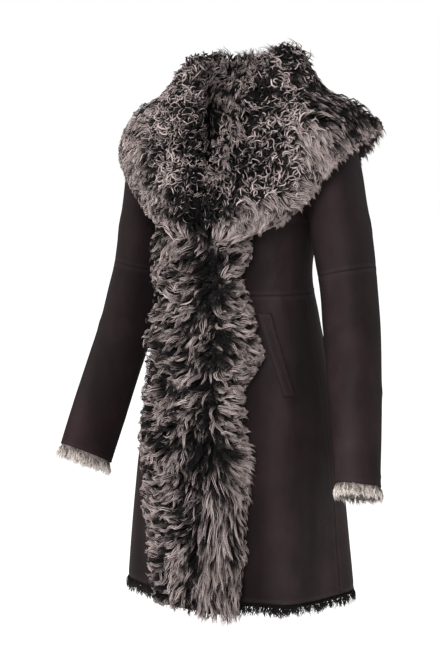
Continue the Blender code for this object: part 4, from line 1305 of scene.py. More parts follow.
COLLAR_LINES = np.array((
    # roll, middle of the fall and edge at eight stations, from the front end to the back
    ((0.020, -0.132, -0.203), (0.054, -0.129, -0.207), (0.082, -0.112, -0.214)),
    ((0.022, -0.134, -0.168), (0.078, -0.122, -0.178), (0.129, -0.094, -0.196)),
    ((0.032, -0.121, -0.108), (0.104, -0.108, -0.124), (0.174, -0.080, -0.154)),
    ((0.050, -0.095, -0.040), (0.130, -0.084, -0.062), (0.206, -0.060, -0.114)),
    ((0.073, -0.044, 0.030), (0.152, -0.036, -0.025), (0.232, -0.012, -0.078)),
    ((0.082, 0.008, 0.060), (0.166, 0.020, -0.016), (0.238, 0.046, -0.062)),
    ((0.062, 0.062, 0.054), (0.104, 0.086, -0.024), (0.144, 0.112, -0.118)),
    ((0.000, 0.086, 0.052), (0.000, 0.116, -0.016), (0.000, 0.130, -0.160)),
))
LAST_STATION = len(COLLAR_LINES) - 1.0
print("stations on each half of the collar:", len(COLLAR_LINES))


# %% Lines of the collar
def front_surface(across, rise, side):
    """Front panel from just under the armpit level, where rise is below 0, to the shoulder."""
    opening = parting_angle(np.array(ARMPIT_Z))
    low = body(opening + across * (side * HALF_TURN - opening), ARMPIT_Z + CHEST_RISE * rise)
    return np.where(rise[..., None] < 0, low, front_upper(across, np.maximum(rise, 0.0), side))


def collar_root(station, side):
    """The sewn edge at each station, and the way in which the collar leaves it."""
    knots = np.array([0.0, 1.0, 2.0, 3.0, 4.0, NECK_STATION])
    rise, inset = spline(knots, COLLAR_ROOTS, np.minimum(station, NECK_STATION)).T
    rise = np.minimum(rise, 1.0)
    half_front = np.abs(side * HALF_TURN - parting_angle(np.array(ARMPIT_Z)))
    across = inset / (BODY_RINGS[-2, 2] * half_front)
    edge = front_surface(across, rise, side)
    away = side * slopes_normal(lambda u, v: front_surface(u, v, side), across, np.minimum(rise, 0.999))
    part = (LAST_STATION - np.maximum(station, NECK_STATION)) / (LAST_STATION - NECK_STATION)
    turn = smoothstep((station - NECK_STATION + 1.0) / TURN_OVER)[:, None]
    away = unit(away * (1.0 - turn) - DOWN * turn)
    on_back = (station > NECK_STATION)[:, None]
    return np.where(on_back, back_top(side * part * NECK_SHARE), edge) + COLLAR_SEAT * away, away


def collar_lines(station, side):
    """Five skin-side points at each station of one half, from the front end to the back."""
    root, away = collar_root(station, side)
    lines = [root, root + COLLAR_STAND * away]
    shift = PART_X * (1.0 - smoothstep((station - 1.0) / SHIFT_OVER))
    for row, part in zip(np.moveaxis(COLLAR_LINES, 1, 0), (1.0, 1.0, EDGE_SHIFT)):
        mirrored = np.concatenate([row, row[-2:-3:-1] * (-1.0, 1.0, 1.0)])
        line = spline(np.arange(LAST_STATION + 2.0), mirrored, station) * (side, 1.0, 1.0)
        line[:, 0] += shift * part
        if side < 0:
            line[:, 2] = np.where(line[:, 2] > 0, RIGHT_CREST * line[:, 2], line[:, 2])
        lines.append(line)
    return np.stack(lines, axis=1)


station = np.linspace(0.0, LAST_STATION, 55)
lines = np.concatenate([collar_lines(station, -1.0), collar_lines(station, 1.0)[-2::-1]])
print(f"outer edge of the collar: {line_length(lines[:, -1]):.3f} m")

# %% Skin of the collar
breadth = np.linspace(0.0, 1.0, 41)
pile = COLLAR_ROOT_PILE + (COLLAR_PILE - COLLAR_ROOT_PILE) * smoothstep(breadth / COLLAR_KNOTS[2])
past = np.clip((breadth - ROUND_FROM) / (1.0 - ROUND_FROM), 0.0, 1.0)
pile = pile * np.sqrt(1.0 - (EDGE_ROUND * past) ** 2)
station = np.concatenate([station, station[-2::-1]])[:, None]
flat = np.exp(-((station - FLAT_STATION) / FLAT_ALONG) ** 2 - ((breadth - FLAT_AT) / FLAT_ACROSS) ** 2)
pile = pile * (1.0 - FLAT_BY * flat)
skin_side = np.moveaxis(spline(COLLAR_KNOTS, np.moveaxis(lines, 1, 0), breadth), 0, 1)
collar_skin = Skin(skin_side, pile, 1.0)
print(f"fleece on the collar: {pile.min():.4f} to {pile.max():.4f} m deep")


# %% Patterns on a skin
def after(value, start, over):
    """0 up to start, 1 once over has passed."""
    return smoothstep((value - start) / over)


def before(value, start, over):
    """1 up to start, 0 once over has passed."""
    return 1.0 - after(value, start, over)


def spot(u, v, at_u, at_v, over_u, over_v, power=4):
    """1 at a place, 0 away from it: exp(-(du / over_u)^power - (dv / over_v)^power)."""
    return np.exp(-((u - at_u) / over_u) ** power - ((v - at_v) / over_v) ** power)


def swirl(u, v, size, seed):
    """Uneven value over the collar, from about -1 to 1."""
    return uneven(collar_skin.place(u, v), size, seed)


SHADES = (
    # place along and across the collar, reach of each, how much later the locks turn pale
    (0.95, 0.78, 0.05, 0.25, -0.36),
    (0.85, 0.62, 0.05, 0.20, 0.22),
    (0.82, 0.44, 0.06, 0.08, 0.16),
    (0.66, 0.80, 0.07, 0.22, 0.20),
    (0.12, 0.88, 0.09, 0.15, -0.16),
    (0.19, 0.40, 0.08, 0.15, -0.12),
    # painted light in the shaded valley in front of the throat
    (0.30, 0.12, 0.10, 0.16, -0.14),
)


def collar_pale(u, v):
    """Share of a lock where it turns pale: late at the roll, early at the outer edge, and late at
    the crest of the neck and where the two ends meet, as painted shade."""
    shade = sum(late * spot(u, v, *place, power=2) for *place, late in SHADES)
    side = np.abs(u - 0.5)
    # painted shade: behind the crest of the neck and in the V where the two ends meet, the locks turn pale
    # later
    crest = before(side, 0.14, 0.08) * before(v, 0.40, 0.10)
    meeting = after(side, 0.38, 0.06) * before(v, 0.38, 0.12)
    roll = 0.52 - 0.30 * after(v, 0.40, 0.35) - 0.20 * swirl(u, v, 0.045, 13)
    return roll + 0.14 * crest + 0.22 * meeting + shade


print("turns pale, from the seam to the edge:", collar_pale(np.full(5, 0.3), np.linspace(0, 1, 5)).round(2))

# %% [markdown]
# ### The depth under the locks
# Between the locks one looks into the fleece, never on bare leather. Locks enough to hide the
# skin would take millions of triangles, so a closed, lumpy skin fills the lower part of the
# pile: dark where the locks turn pale late, streaked with their colour where they turn early.

# %% Under-fleece of the collar
UNDER_SHARE = 0.45        # share of the pile that the under-fleece fills
LEAST_UNDER = 0.0012      # the least depth that it keeps
LUMP = 0.0022             # height of its lumps,
LUMP_SIZE = 0.016         # their width,
FULL_LUMPS = 0.012        # and the depth of pile from which they are full
UNDER_LATE = 1.3          # how strongly it is darker where the locks turn pale late


def under_fleece(name, skin, pale_from):
    """Closed skin from the leather side to the share of the pile that the locks stand on."""
    top = skin.points + skin.normal * (skin.pile * UNDER_SHARE)[..., None]
    lump = uneven(top, LUMP_SIZE, 3) * LUMP * np.clip(skin.pile / FULL_LUMPS, 0.1, 1.0)
    depth = np.maximum(skin.pile * UNDER_SHARE + lump, LEAST_UNDER)
    marks = {"pale": np.clip(1.0 - UNDER_LATE * pale_from, 0.0, 1.0)}
    outer = skin.points + skin.normal * depth[..., None]
    return closed_skin(name, outer, skin.points, [UNDER, LEATHER], marks)


u, v = (part.ravel() for part in np.meshgrid(np.linspace(0, 1, len(pile)), breadth, indexing="ij"))
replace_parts(under_fleece("collar_skin", collar_skin, collar_pale(u, v)), "collar")

# %% [markdown]
# ### Kinds of lock on the collar
# Inside the neck the fleece lies low and smooth. Over the roll it is tightly curled, in
# ringlets 9 to 16 mm across with loose waves between them. Towards the edge it hangs in long,
# slightly waved locks, and it stands up behind the neck. One kind of lock everywhere would look
# like a rug, so each kind has a crowd of its own, which says how thickly it stands at a place.

# %% Kinds of lock
RINGLET = dict(
    NECK_WOOL, length=(0.004, 0.016), width=(0.0050, 0.0076), coil=(0.0046, 0.0082), turns=(0.40, 0.90),
    top=(0.50, 1.12), tone=(0.50, 1.15), stray=1.2, droop=0.3, round=1.0, rise=0.9, rings=8, stand=78.0)
WAVE = dict(RINGLET, length=(0.018, 0.034), coil=(0.0028, 0.0050), turns=(0.9, 1.6), round=0.5, stand=0.0)
WAVE_SHARE = 0.4
SHAG = dict(
    NECK_WOOL, length=(0.022, 0.040), width=(0.0046, 0.0064), turns=(0.5, 1.2), top=(0.60, 1.15),
    tone=(0.60, 1.12), stray=0.18, droop=0.45, rise=0.45, root=0.35, sag=0.10, past=0.006)
FRINGE = dict(SHAG, length=(0.014, 0.028), sag=0.45, droop=0.9, past=0.009, top=(0.2, 1.0))
WING_FRINGE = dict(
    FRINGE, length=(0.015, 0.026), sag=0.22, past=0.017, stray=0.35, top=(0.0, 0.9), tone=(0.8, 1.2))
END_FRINGE = dict(FRINGE, length=(0.026, 0.042), sag=0.15, past=0.034, top=(0.4, 1.1))
HOLLOW_WOOL = dict(
    NECK_WOOL, length=(0.012, 0.022), tone=(0.50, 0.95), top=(0.7, 1.3), stray=0.7, coil=(0.0010, 0.0034))
CREST_WOOL = dict(
    NECK_WOOL, length=(0.016, 0.028), tone=(0.55, 1.05), top=(0.9, 1.3), stray=0.8, lift=0.4,
    coil=(0.0010, 0.0030))
SEAM_WOOL = dict(NECK_WOOL, tone=(0.70, 1.05), sag=0.25, past=0.026)
print("ringlets are up to", 2 * RINGLET["coil"][1], "m across")

# %% Where each kind stands
CURL_EDGE = (
    # place along the collar from the right front end to the left, where curls give way to shag
    (0.00, 0.40), (0.07, 0.50), (0.13, 0.62), (0.20, 0.66), (0.27, 0.58), (0.38, 0.50), (0.62, 0.50),
    (0.68, 0.52), (0.74, 0.69), (0.78, 0.775), (0.815, 0.87), (0.85, 0.93), (0.88, 0.86), (0.905, 0.72),
    (0.93, 0.52), (1.00, 0.40),
)


def past_curls(u, v):
    """How far a place lies outside the curl edge."""
    return v - np.interp(u, *np.array(CURL_EDGE).T)


def neck_crowd(u, v):
    """Smooth fleece from the neck seam to the roll, round the back of the neck and in one
    brushed-out spot on the left breast."""
    nape = before(v, 0.22, 0.10) * before(np.abs(u - 0.5), 0.17, 0.08)
    return np.maximum(nape, spot(u, v, 0.815, 0.415, 0.05, 0.055))


def hollow_crowd(u, v):
    """Soft wool along the valley where the two rolls meet in front of the throat."""
    return spot(u, v, 0.20, 0.18, 0.11, 0.10) + spot(u, v, 0.80, 0.35, 0.10, 0.06)


def crest_crowd(u, v):
    """Wool that stands up along the top of the collar behind the neck."""
    return spot(u, v, 0.49, 0.33, 0.085, 0.09)


def seam_crowd(u, v):
    """Locks that hang from the neck seam into the neck."""
    return before(v, 0.06, 0.06) * before(np.abs(u - 0.5), 0.20, 0.05)


def curl_crowd(u, v):
    """Ringlets from the roll to the curl edge, in thick and thin patches."""
    patch = after(swirl(u, v, 0.045, 12), -0.5, 0.6)
    inner = 1.0 - np.maximum(neck_crowd(u, v), 0.7 * hollow_crowd(u, v))
    return inner * before(past_curls(u, v), -0.06, 0.14) * (0.18 + 0.82 * patch)


def shag_crowd(u, v):
    """Long locks from the curl edge outwards."""
    return after(past_curls(u, v), -0.10, 0.16)


def fringe_crowd(u, v):
    """Locks that hang over the outer edge."""
    return after(v, 0.90, 0.06)


def wing_crowd(u, v):
    """Long locks that hang over the edge where it stands off the shoulder."""
    return fringe_crowd(u, v) * np.exp(-((np.abs(u - 0.5) - 0.19) / 0.10) ** 4)


def end_crowd(u, v):
    """Locks that hang over the two front ends, onto the fur fronts."""
    return after(np.abs(u - 0.5), 0.475, 0.015)


def between(low, high, crowd):
    """A crowd, kept to one stretch of the collar."""
    return lambda u, v: ((u >= low) & (u < high)) * crowd(u, v)


print("crowd of curls across the collar:", curl_crowd(np.full(5, 0.3), np.linspace(0, 1, 5)).round(2))


# %% Which way each kind lies
def curl_way(u, v):
    """Outwards, with soft swirls."""
    return swirl(u, v, 0.05, 5) * 1.2


def shag_way(u, v):
    """Outwards, turned down along the collar towards its two front ends, and swirling."""
    hang = np.sign(u - 0.5) * np.where(u > 0.5, 0.60, 0.65) * after(np.abs(u - 0.5), 0.36, 0.10)
    return hang + swirl(u, v, 0.07, 6) * 0.40 + swirl(u, v, 0.026, 9) * 0.40


def end_way(u, v):
    """Along the collar, out over its front ends, swirling a little."""
    return np.sign(u - 0.5) * HALF_TURN + 0.35 * swirl(u, v, 0.03, 21)


def neck_way(u, v):
    """Outwards and round the neck."""
    return swirl(u, v, 0.06, 7) * 0.8 + swirl(u, v, 0.022, 8) * 0.5 + 1.1


def seam_way(u, v):
    """Back to the seam and over it."""
    return 2 * HALF_TURN + 0.6 * swirl(u, v, 0.03, 22)


def hollow_way(u, v):
    """Swirls as wide as a thumb."""
    return 3.0 * swirl(u, v, 0.030, 23)


print("lie of the long locks:", shag_way(np.linspace(0, 1, 5), np.full(5, 0.8)).round(2), "radians")

# %% Locks of the collar
QUARTERS = (
    # word, its share of the collar, ringlets, rings of its long locks, their number, and that of
    # the locks over the edge, the wing and the front end
    ("right_front", 0.0, 0.25, 860, 5, 960, 120, 0, 75),
    ("right_back", 0.25, 0.5, 560, 4, 820, 120, 150, 0),
    ("left_back", 0.5, 0.75, 570, 4, 820, 120, 170, 0),
    ("left_front", 0.75, 1.0, 860, 5, 900, 120, 25, 75),
)
LONG_LOCKS = (
    # crowd, seeds, way, kind, how much sooner they turn pale
    (shag_crowd, (30, 40), shag_way, SHAG, 0.0),
    (fringe_crowd, (44, 48), shag_way, FRINGE, 0.1),
    (wing_crowd, (54, 58), shag_way, WING_FRINGE, 0.2),
    (end_crowd, (64, 68), end_way, END_FRINGE, 0.3),
)
for number, (word, low, high, curl_count, rings, *counts) in enumerate(QUARTERS):
    u, v = collar_skin.scatter(curl_count, between(low, high, curl_crowd), 10 + number)
    waved = (np.arange(len(u)) * EVEN_STEPS[0]) % 1.0 < WAVE_SHARE
    pale_from = collar_pale(u, v) - 0.06
    grown = [grow(collar_skin, u[kind], v[kind], curl_way, style, seed + number, pale_from[kind])
             for kind, style, seed in ((~waved, RINGLET, 20), (waved, WAVE, 24))]
    locks("collar_curls_" + word, grown, TAUPE, strands=1)
    grown = [sow(collar_skin, count, between(low, high, crowd), (seeds[0] + number, seeds[1] + number), way,
                 dict(style, rings=rings), lambda u, v: collar_pale(u, v) - sooner)
             for count, (crowd, seeds, way, style, sooner) in zip(counts, LONG_LOCKS) if count]
    locks("collar_shag_" + word, grown, TAUPE)

# %% Wool of the neck
NECK_LOCKS = (
    # number, crowd, seeds, way, kind, share of the length where they turn pale
    (460, neck_crowd, (50, 51), neck_way, NECK_WOOL, 0.2),
    (130, seam_crowd, (52, 53), seam_way, SEAM_WOOL, 0.15),
    (300, hollow_crowd, (54, 57), hollow_way, HOLLOW_WOOL, 0.02),
    (260, crest_crowd, (58, 59), hollow_way, CREST_WOOL, 0.20),
)
grown = [sow(collar_skin, *row) for row in NECK_LOCKS]
locks("collar_neck_fleece", grown, TAUPE, strands=2)

# %% [markdown]
# ### The lining that shows in the neck
# A shearling has its own wool inside. It is clipped short and lies hidden, but for the stretch
# under the back of the neck that one sees through the V, where it stays long and soft. Only
# that stretch is worth its triangles: elsewhere the inner side has the short wool's finish.

# %% Neck lining
LINING_DEPTH = 0.007
# painted light: its tone runs above 1, brighter than the other fleece, so that it reads lit inside the shaded
# neck
LINING_WOOL = dict(
    NECK_WOOL, length=(0.016, 0.028), width=(0.0032, 0.0048), coil=(0.0008, 0.0024), turns=(0.4, 1.1),
    top=(0.6, 1.2), tone=(1.0, 1.5), stray=0.4, droop=0.2, root=0.0)
cloth = back_upper(np.linspace(-0.62, 0.62, 50)[None, :], np.linspace(0.02, 0.98, 30)[:, None])
lining = Skin(cloth, LINING_DEPTH, -1.0, shift=LEATHER_WALL)


def lining_way(u, v):
    """Downwards, with soft swirls."""
    return uneven(lining.place(u, v), 0.05, 15) - HALF_TURN


grown = [sow(lining, 500, everywhere, (55, 56), lining_way, LINING_WOOL, 0.05)]
locks("neck_lining_fleece", grown, TAUPE, strands=2)

# %% [markdown]
# ## Fur fronts
# Down both front edges the skin is turned out, so that a band of fleece runs from the chest
# to below the hem. The two bands meet at the parting. Beside it the locks stay dark for most
# of their length, which is painted shade for the groove where the bands meet; outwards they turn
# pale early and are brushed to the side. Low on the left they are long and hang. A comb leaves no
# pattern that a formula would give, so the headings are read from a table of heights.

# %% Shape of the fur fronts
STRIP_TOP_Z = -0.210
STRIP_BOTTOM_Z = -0.832
STRIP_PILE = 0.028        # depth of the fleece in the middle,
STRIP_EDGE = 0.012        # and at the edges
STRIP_END_SHARE = 0.65    # its depth at the two ends, over that of the rest,
STRIP_END_LENGTH = 0.03   # which it reaches this far from them
SEAT_GAP = 0.0006         # air between its skin and the leather under it
STRIP_EDGES = np.array((
    # height, left and right edge in degrees from the middle front, pile at the right edge
    (-0.225, 35.0, 36.0, 0.014),
    (-0.248, 35.5, 39.0, 0.018),
    (-0.270, 32.0, 41.0, 0.022),
    (-0.292, 29.0, 42.0, 0.024),
    (-0.322, 32.0, 40.0, 0.020),
    (-0.337, 35.0, 38.0, 0.019),
    (-0.363, 36.5, 37.5, 0.025),
    (-0.386, 38.5, 38.5, 0.028),
    (-0.410, 41.0, 40.0, 0.027),
    (-0.437, 38.0, 38.0, 0.016),
    (-0.464, 31.0, 36.0, 0.014),
    (-0.506, 31.0, 37.0, 0.014),
    (-0.569, 31.5, 34.5, 0.014),
    (-0.626, 31.3, 28.5, 0.014),
    (-0.650, 31.0, 28.5, 0.014),
    (-0.707, 29.5, 23.5, 0.014),
    (-0.776, 28.5, 20.5, 0.014),
    (-0.812, 27.5, 17.5, 0.014),
    (-0.845, 27.0, 16.0, 0.014),
))[::-1]
z = np.linspace(STRIP_BOTTOM_Z, STRIP_TOP_Z, 110)[:, None]
share = np.linspace(0.0, 1.0, 25)[None, :]
dome = np.sqrt(np.clip(1.0 - (2.0 * share - 1.0) ** 4, 0.0, 1.0))
to_end = np.minimum(STRIP_TOP_Z - z, z - STRIP_BOTTOM_Z)
ends = STRIP_END_SHARE + (1.0 - STRIP_END_SHARE) * smoothstep(to_end / STRIP_END_LENGTH)


def fur_front(side):
    """Skin of one fur front: its depth is a flat dome from edge to edge, lower at the ends."""
    left, right, right_pile = (spline(STRIP_EDGES[:, 0], STRIP_EDGES[:, i], z) for i in (1, 2, 3))
    reach = np.radians(left if side > 0 else right)
    edge = STRIP_EDGE + share * (right_pile - STRIP_EDGE if side < 0 else 0.0)
    angle = from_parting(z, side, share, reach, 4 * SEAM_ANGLE)
    seat = body(angle, z) + SEAT_GAP * body_normal(angle, z)
    return Skin(seat, (edge + (STRIP_PILE - edge) * dome) * ends, -side)


for word, side in SIDES:
    widths = np.ptp(fur_front(side).points[..., 0], axis=1)
    print(f"widest part of the {word} fur front: {widths.max():.3f} m")

# %% How the fur fronts are brushed
BRUSHING = {
    # height, then headings in degrees beside the parting, in the middle and at the outer edge:
    # 0 is straight out to the side, 90 is up, -90 is down
    "left": ((-0.850, -104, -92, -80), (-0.740, -106, -88, -72), (-0.660, -104, -76, -55),
             (-0.600, -98, -52, -35), (-0.540, -84, -24, -5), (-0.480, -85, 10, 10), (-0.460, -70, -40, -15),
             (-0.420, -52, -12, 4), (-0.360, -42, -10, 8), (-0.320, -60, -20, 0), (-0.300, 80, 40, 10),
             (-0.250, 88, 65, 15), (-0.210, 80, 40, 0)),
    "right": ((-0.850, -90, -75, -40), (-0.740, -85, -60, -15), (-0.690, -60, -5, 30),
              (-0.640, -80, -30, -5), (-0.600, -80, -60, -10), (-0.520, -70, -40, -8),
              (-0.440, -60, -30, -12), (-0.380, -75, -45, -10), (-0.330, -60, -25, -4),
              (-0.290, 30, -15, -8), (-0.250, -60, -25, -12), (-0.210, -60, -40, -20)),
}
HANGING_Z = {"left": -0.55, "right": -1.0}   # below this height the locks hang
HANGING_LOOSE = 0.35      # and swirl this much less


def strip_way(word, points, v):
    """Heading of the locks, in radians: between the rows of the table, eased across the strip,
    and swirling."""
    z = points[:, 2]
    rows = np.array(BRUSHING[word])
    inner, middle, outer = (np.interp(z, rows[:, 0], rows[:, i]) for i in (1, 2, 3))
    brushed = inner + (middle - inner) * smoothstep(v / 0.45) + (outer - middle) * after(v, 0.45, 0.45)
    loose = np.where(z < HANGING_Z[word], HANGING_LOOSE, 1.0)
    return np.radians(brushed) + loose * (uneven(points, 0.05, 8) * 0.45 + uneven(points, 0.026, 9) * 0.35)


print("heights in the table:", len(BRUSHING["left"]), "and", len(BRUSHING["right"]))

# %% How the fur fronts are shaded
STRIP_SHADES = {
    # height, and how much later than elsewhere the locks turn pale
    "left": ((-0.85, 0.0), (-0.62, 0.02), (-0.50, -0.08), (-0.22, -0.12)),
    "right": ((-0.85, 0.0), (-0.62, 0.03), (-0.54, 0.10), (-0.46, 0.10), (-0.36, 0.0), (-0.22, 0.0)),
}
# painted shade in the groove at the parting, where the two fur fronts meet
STRIP_PARTING_SHADES = {
    # height, and how much later than at the outer edge the locks turn pale beside the parting
    "left": ((-0.85, 0.24), (-0.60, 0.24), (-0.50, 0.30), (-0.22, 0.30)),
    "right": ((-0.85, 0.24), (-0.56, 0.24), (-0.50, 0.12), (-0.37, 0.10), (-0.30, 0.26), (-0.22, 0.28)),
}
STRIP_PATCHES = {
    # height, place from the parting to the outer edge, reach of each, how much later
    "left": ((-0.588, 0.75, 0.030, 0.30, -0.35), (-0.555, 0.05, 0.030, 0.20, 0.25),
             (-0.410, 0.30, 0.014, 0.25, 0.20)),
    "right": ((-0.410, 0.62, 0.012, 0.25, 0.35), (-0.465, 0.50, 0.010, 0.22, 0.35),
              (-0.553, 0.45, 0.014, 0.32, 0.50), (-0.605, 0.25, 0.032, 0.20, 0.28),
              (-0.828, 0.70, 0.020, 0.28, 0.28)),
}


def strip_pale(word, points, v):
    """Share of a lock where it turns pale: late beside the parting, as painted shade in the groove where the
    fronts meet, and early at the outer edge.
    """
    z = points[..., 2]
    patches = 0.20 * uneven(points, 0.045, 14) + 0.22 * uneven(points, 0.020, 16)
    for *place, late in STRIP_PATCHES[word]:
        patches = patches - late * spot(z, v, *place, power=2)
    shade, depth = (np.interp(z, *np.array(table[word]).T) for table in (STRIP_SHADES, STRIP_PARTING_SHADES))
    return 0.18 + depth * before(v, 0.04, 0.25) - patches + shade


print("patches:", {word: len(rows) for word, rows in STRIP_PATCHES.items()})

# %% Fur fronts
BRUSHED = dict(
    NECK_WOOL, length=(0.026, 0.046), width=(0.0044, 0.0062), coil=(0.0014, 0.0036), turns=(0.6, 1.5),
    top=(0.60, 1.25), tone=(0.60, 1.20), stray=0.24, rise=0.45, root=0.35, rings=5, lift=0.03)
HANGING = dict(
    BRUSHED, length=(0.045, 0.075), coil=(0.0008, 0.0026), turns=(0.5, 1.3), width=(0.0038, 0.0054),
    stray=0.08)
PARTING_SHARE = 0.22      # the locks up to here may hang further over the strip's edge
STRIP_LOCKS = {"left": 1050, "right": 1600}
for word, side in SIDES:
    band = fur_front(side)
    front = under_fleece("fur_front_skin_" + word, band, strip_pale(word, band.points, share))
    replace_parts(front, "front_fur_" + word)
    u, v = band.scatter(STRIP_LOCKS[word], everywhere, 60 + int(side))
    points = band.place(u, v)
    hanging = points[:, 2] < HANGING_Z[word]
    kinds = ((~hanging & (v < PARTING_SHARE), BRUSHED, 0.026),
             (~hanging & (v >= PARTING_SHARE), BRUSHED, 0.009),
             (hanging, HANGING, 0.022))
    grown = [grow(band, u[kind], v[kind], lambda u, v: strip_way(word, band.place(u, v), v),
                  dict(style, past=past), 70 + int(side) + 5 * number,
                  strip_pale(word, points[kind], v[kind]))
             for number, (kind, style, past) in enumerate(kinds)]
    locks("fur_front_locks_" + word, grown, TAUPE)

# %% [markdown]
# ## Cuffs and hem
# The clipped fleece of the inside shows past the leather: cream at the wrists, black all
# round the hem. A solid rim would look like felt, so each is a thin under-fleece just inside
# the leather, with short locks that start on it and run out past its edge.

# %% Cuff fleece
CUFF_WOOL = dict(
    NECK_WOOL, length=(0.016, 0.036), width=(0.0034, 0.0052), coil=(0.0008, 0.0026), turns=(0.4, 1.1),
    top=(0.3, 1.6), tone=(0.85, 1.35), stray=0.50, droop=0.25, rise=0.5, root=0.0, past=0.012, sag=0.10)
CLIPPED_PILE = 0.003      # depth of the clipped fleece,
CLIPPED_WALL = 0.006      # and of the under-fleece that it stands on
CUFF_FROM = 0.3           # sleeve rings by which it starts inside the leather
CUFF_SHORT = 0.26         # and by which its skin ends short of the fur's end
CUFF_FOLLOWS = 0.7        # share of the leather's droop that it takes part in
CUFF_LOCKS = 350


def straight_on(u, v):
    """Straight out past the leather's edge."""
    return np.full_like(u, HALF_TURN)


turn_angle = np.linspace(0.0, 2 * np.pi, 61)[None, :]
for word, side in SIDES:
    ring = np.linspace(SLEEVE_END - CUFF_FROM, CUFF_END - CUFF_SHORT, 14)[:, None]
    line = sleeve(turn_angle, ring + CUFF_FOLLOWS * cuff_droop(turn_angle, side), side)
    way = grid_normals(line[:, :-1], True, -side)
    line = line - np.concatenate([way, way[:, :1]], axis=1) * LEATHER_WALL
    tube = cloth_wall("cuff_fleece_skin_" + word, line[4:, :-1], CLIPPED_WALL, -side,
                      [UNDER_CREAM] * 2, {}, ring=True)
    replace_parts(tube, "cuff_fur_" + word)
    grown = [sow(Skin(line, CLIPPED_PILE, -side), CUFF_LOCKS, lambda u, v: after(u, 0.25, 0.4),
                 (80 + int(side), 84 + int(side)), straight_on, CUFF_WOOL, 0.0)]
    locks("cuff_fleece_" + word, grown, CREAM, strands=2)

# %% Hem fleece
HEM_WOOL = dict(
    NECK_WOOL, length=(0.016, 0.027), width=(0.0036, 0.0054), coil=(0.0008, 0.0024), top=(0.2, 2.0),
    tone=(0.8, 1.6), stray=0.30, droop=0.3, rise=0.5, root=0.0, rings=3, past=0.018)
HEM_INSIDE = 0.012        # height by which it starts inside the leather
HEM_DEPTH = 0.022         # and its own height
HEM_LOCKS = 1500
z = HEM_Z + HEM_INSIDE - np.linspace(0.0, HEM_DEPTH, 8)[:, None]
first = parting_angle(np.array(HEM_Z)) + 4 * SEAM_ANGLE
angle = first + np.linspace(0.0, 1.0, 240)[None, :] * (2 * np.pi - 8 * SEAM_ANGLE)
line = body(angle, HEM_Z) * (1.0, 1.0, 0.0) + xyz(0.0, 0.0, z)
inside = Skin(line, CLIPPED_PILE, 1.0, shift=-LEATHER_WALL)
band = cloth_wall("hem_fleece_skin", inside.points[:7], CLIPPED_WALL, 1.0, [UNDER_BLACK] * 2, {})
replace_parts(band, "hem_fur")
grown = [sow(inside, HEM_LOCKS, lambda u, v: after(u, 0.3, 0.4), (90, 91), straight_on, HEM_WOOL)]
locks("hem_fleece", grown, BLACK, strands=2)

# %% [markdown]
# ## Pockets
# Each pocket is a slanted opening behind a flat welt, a strip of leather folded double. The bag
# never shows, so a pocket could be a line on the skirt, but then it would vanish from the side.
# The welt is made as one thick strip that lies on the skirt, stitched along both long edges.

# %% Pocket welts
WELT_WIDTH = 0.020
WELT_THICK = 0.0028
# painted shade over the whole welt, through the leather's shade mark
WELT_SHADE = 0.30
WELT_TOP_Z = -0.350
WELT_BOTTOM_Z = -0.482
WELT_TOP_DEG = 44.5       # place of its two ends round the body, from the middle front
WELT_BOTTOM_DEG = 58.5
down = close_at_ends(40, length=0.14)[:, None]
share = close_at_ends(12, length=0.02, nearest=0.0008, steps=3)[None, :] - 0.5
z = WELT_TOP_Z + down * (WELT_BOTTOM_Z - WELT_TOP_Z)
middle = np.radians(WELT_TOP_DEG + down * (WELT_BOTTOM_DEG - WELT_TOP_DEG))
mean_radius = spline(BODY_RINGS[:, 0], BODY_RINGS[:, 1:3], z[:, 0]).mean(-1)[:, None]
for word, side in SIDES:
    angle = side * (middle + share * (WELT_WIDTH / mean_radius))
    outer = body(angle, z) + (SEAT_GAP + WELT_THICK) * body_normal(angle, z)
    sewn("pocket_leather_" + word, "pocket_welt_" + word, outer, side, 0.0, WELT_SHADE,
         columns=(3, -4), wall=WELT_THICK)

# %% [markdown]
# ## Stitches
# Rows of stitches run beside the leather's seams and edges, one every four millimetres, in thread a
# little lighter than the skin. As a line drawn in the finish they would blur close up, so each
# stitch is a short arc of thread, made by the same strands as the locks.

# %% Stitches
THREAD = fleece("thread", (0.016, 0.012, 0.012), (0.030, 0.024, 0.024), (0.040, 0.032, 0.032))
locks("stitching", SEWING, THREAD, strands=1, flat=1.0)

# %% [markdown]
# ## What each piece is cut from
# A pattern cutter wants the flat sizes: the rectangle that each panel is cut from, and the
# area of the panel itself. They were measured along the surfaces above, so the leather is
# neither stretched nor bunched anywhere.

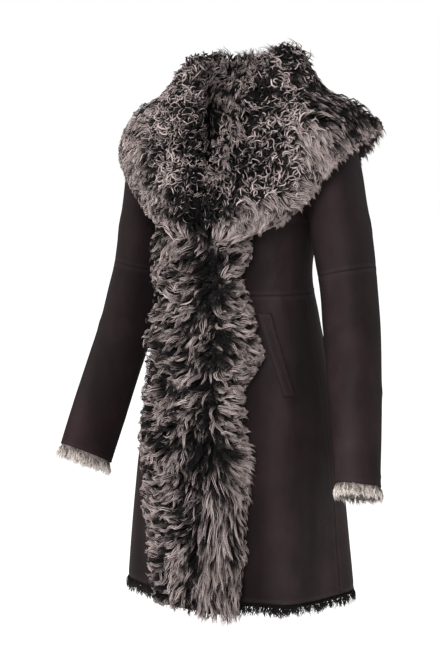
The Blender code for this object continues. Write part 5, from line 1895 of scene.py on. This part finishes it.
# %% Flat patterns
FRONTS = "bodice_front_left bodice_front_right"
COLLAR_LOCKS = " ".join(f"collar_{kind}_{quarter[0]}" for kind in ("curls", "shag") for quarter in QUARTERS)
CUTS = (
    # piece, width, length, area, what it lies on or hangs from, fleece on it; * is left and right
    ("skirt_left", 0.255, 0.496, 0.104, "bodice_front_left", ""),
    ("skirt_right", 0.312, 0.496, 0.138, "bodice_front_right", ""),
    ("skirt_back", 0.570, 0.496, 0.240, "bodice_back", ""),
    ("bodice_front_left", 0.187, 0.376, 0.049, "bodice_back", ""),
    ("bodice_front_right", 0.243, 0.392, 0.063, "bodice_back", ""),
    ("bodice_back", 0.426, 0.360, 0.123, "", "neck_lining_fleece"),
    ("sleeve_upper_arm_*", 0.443, 0.254, 0.057, "bodice_front_* bodice_back", ""),
    ("sleeve_lower_arm_left", 0.311, 0.366, 0.097, "sleeve_upper_arm_left", ""),
    ("sleeve_lower_arm_right", 0.311, 0.367, 0.098, "sleeve_upper_arm_right", ""),
    ("collar_skin", 1.175, 0.276, 0.232, FRONTS + " bodice_back sleeve_upper_arm_left sleeve_upper_arm_right",
     COLLAR_LOCKS + " collar_neck_fleece"),
    ("fur_front_skin_left", 0.073, 0.642, 0.045, "bodice_front_left skirt_left", "fur_front_locks_left"),
    ("fur_front_skin_right", 0.148, 0.640, 0.088, "bodice_front_right skirt_right", "fur_front_locks_right"),
    ("cuff_fleece_skin_*", 0.248, 0.020, 0.0049, "sleeve_lower_arm_*", "cuff_fleece_*"),
    ("hem_fleece_skin", 1.120, 0.025, 0.0274, "skirt_left skirt_right skirt_back", "hem_fleece"),
    ("pocket_leather_*", 0.022, 0.140, 0.0030, "skirt_*", ""),
    ("seam_tape_waist", 0.770, 0.012, 0.0092, "bodice_back", ""),
    ("seam_tape_side_*", 0.015, 0.570, 0.0061, "skirt_*", ""),
    ("seam_tape_sleeve_*", 0.300, 0.018, 0.0052, "sleeve_upper_arm_*", ""),
)
areas = []
for name, width, length, area, rests_on, fleece_on in CUTS:
    for word in ("left", "right")[:1 + name.count("*")]:
        areas.append(area)
print("cut from", len(areas), "skins,", round(sum(areas), 2), "m2 in all")
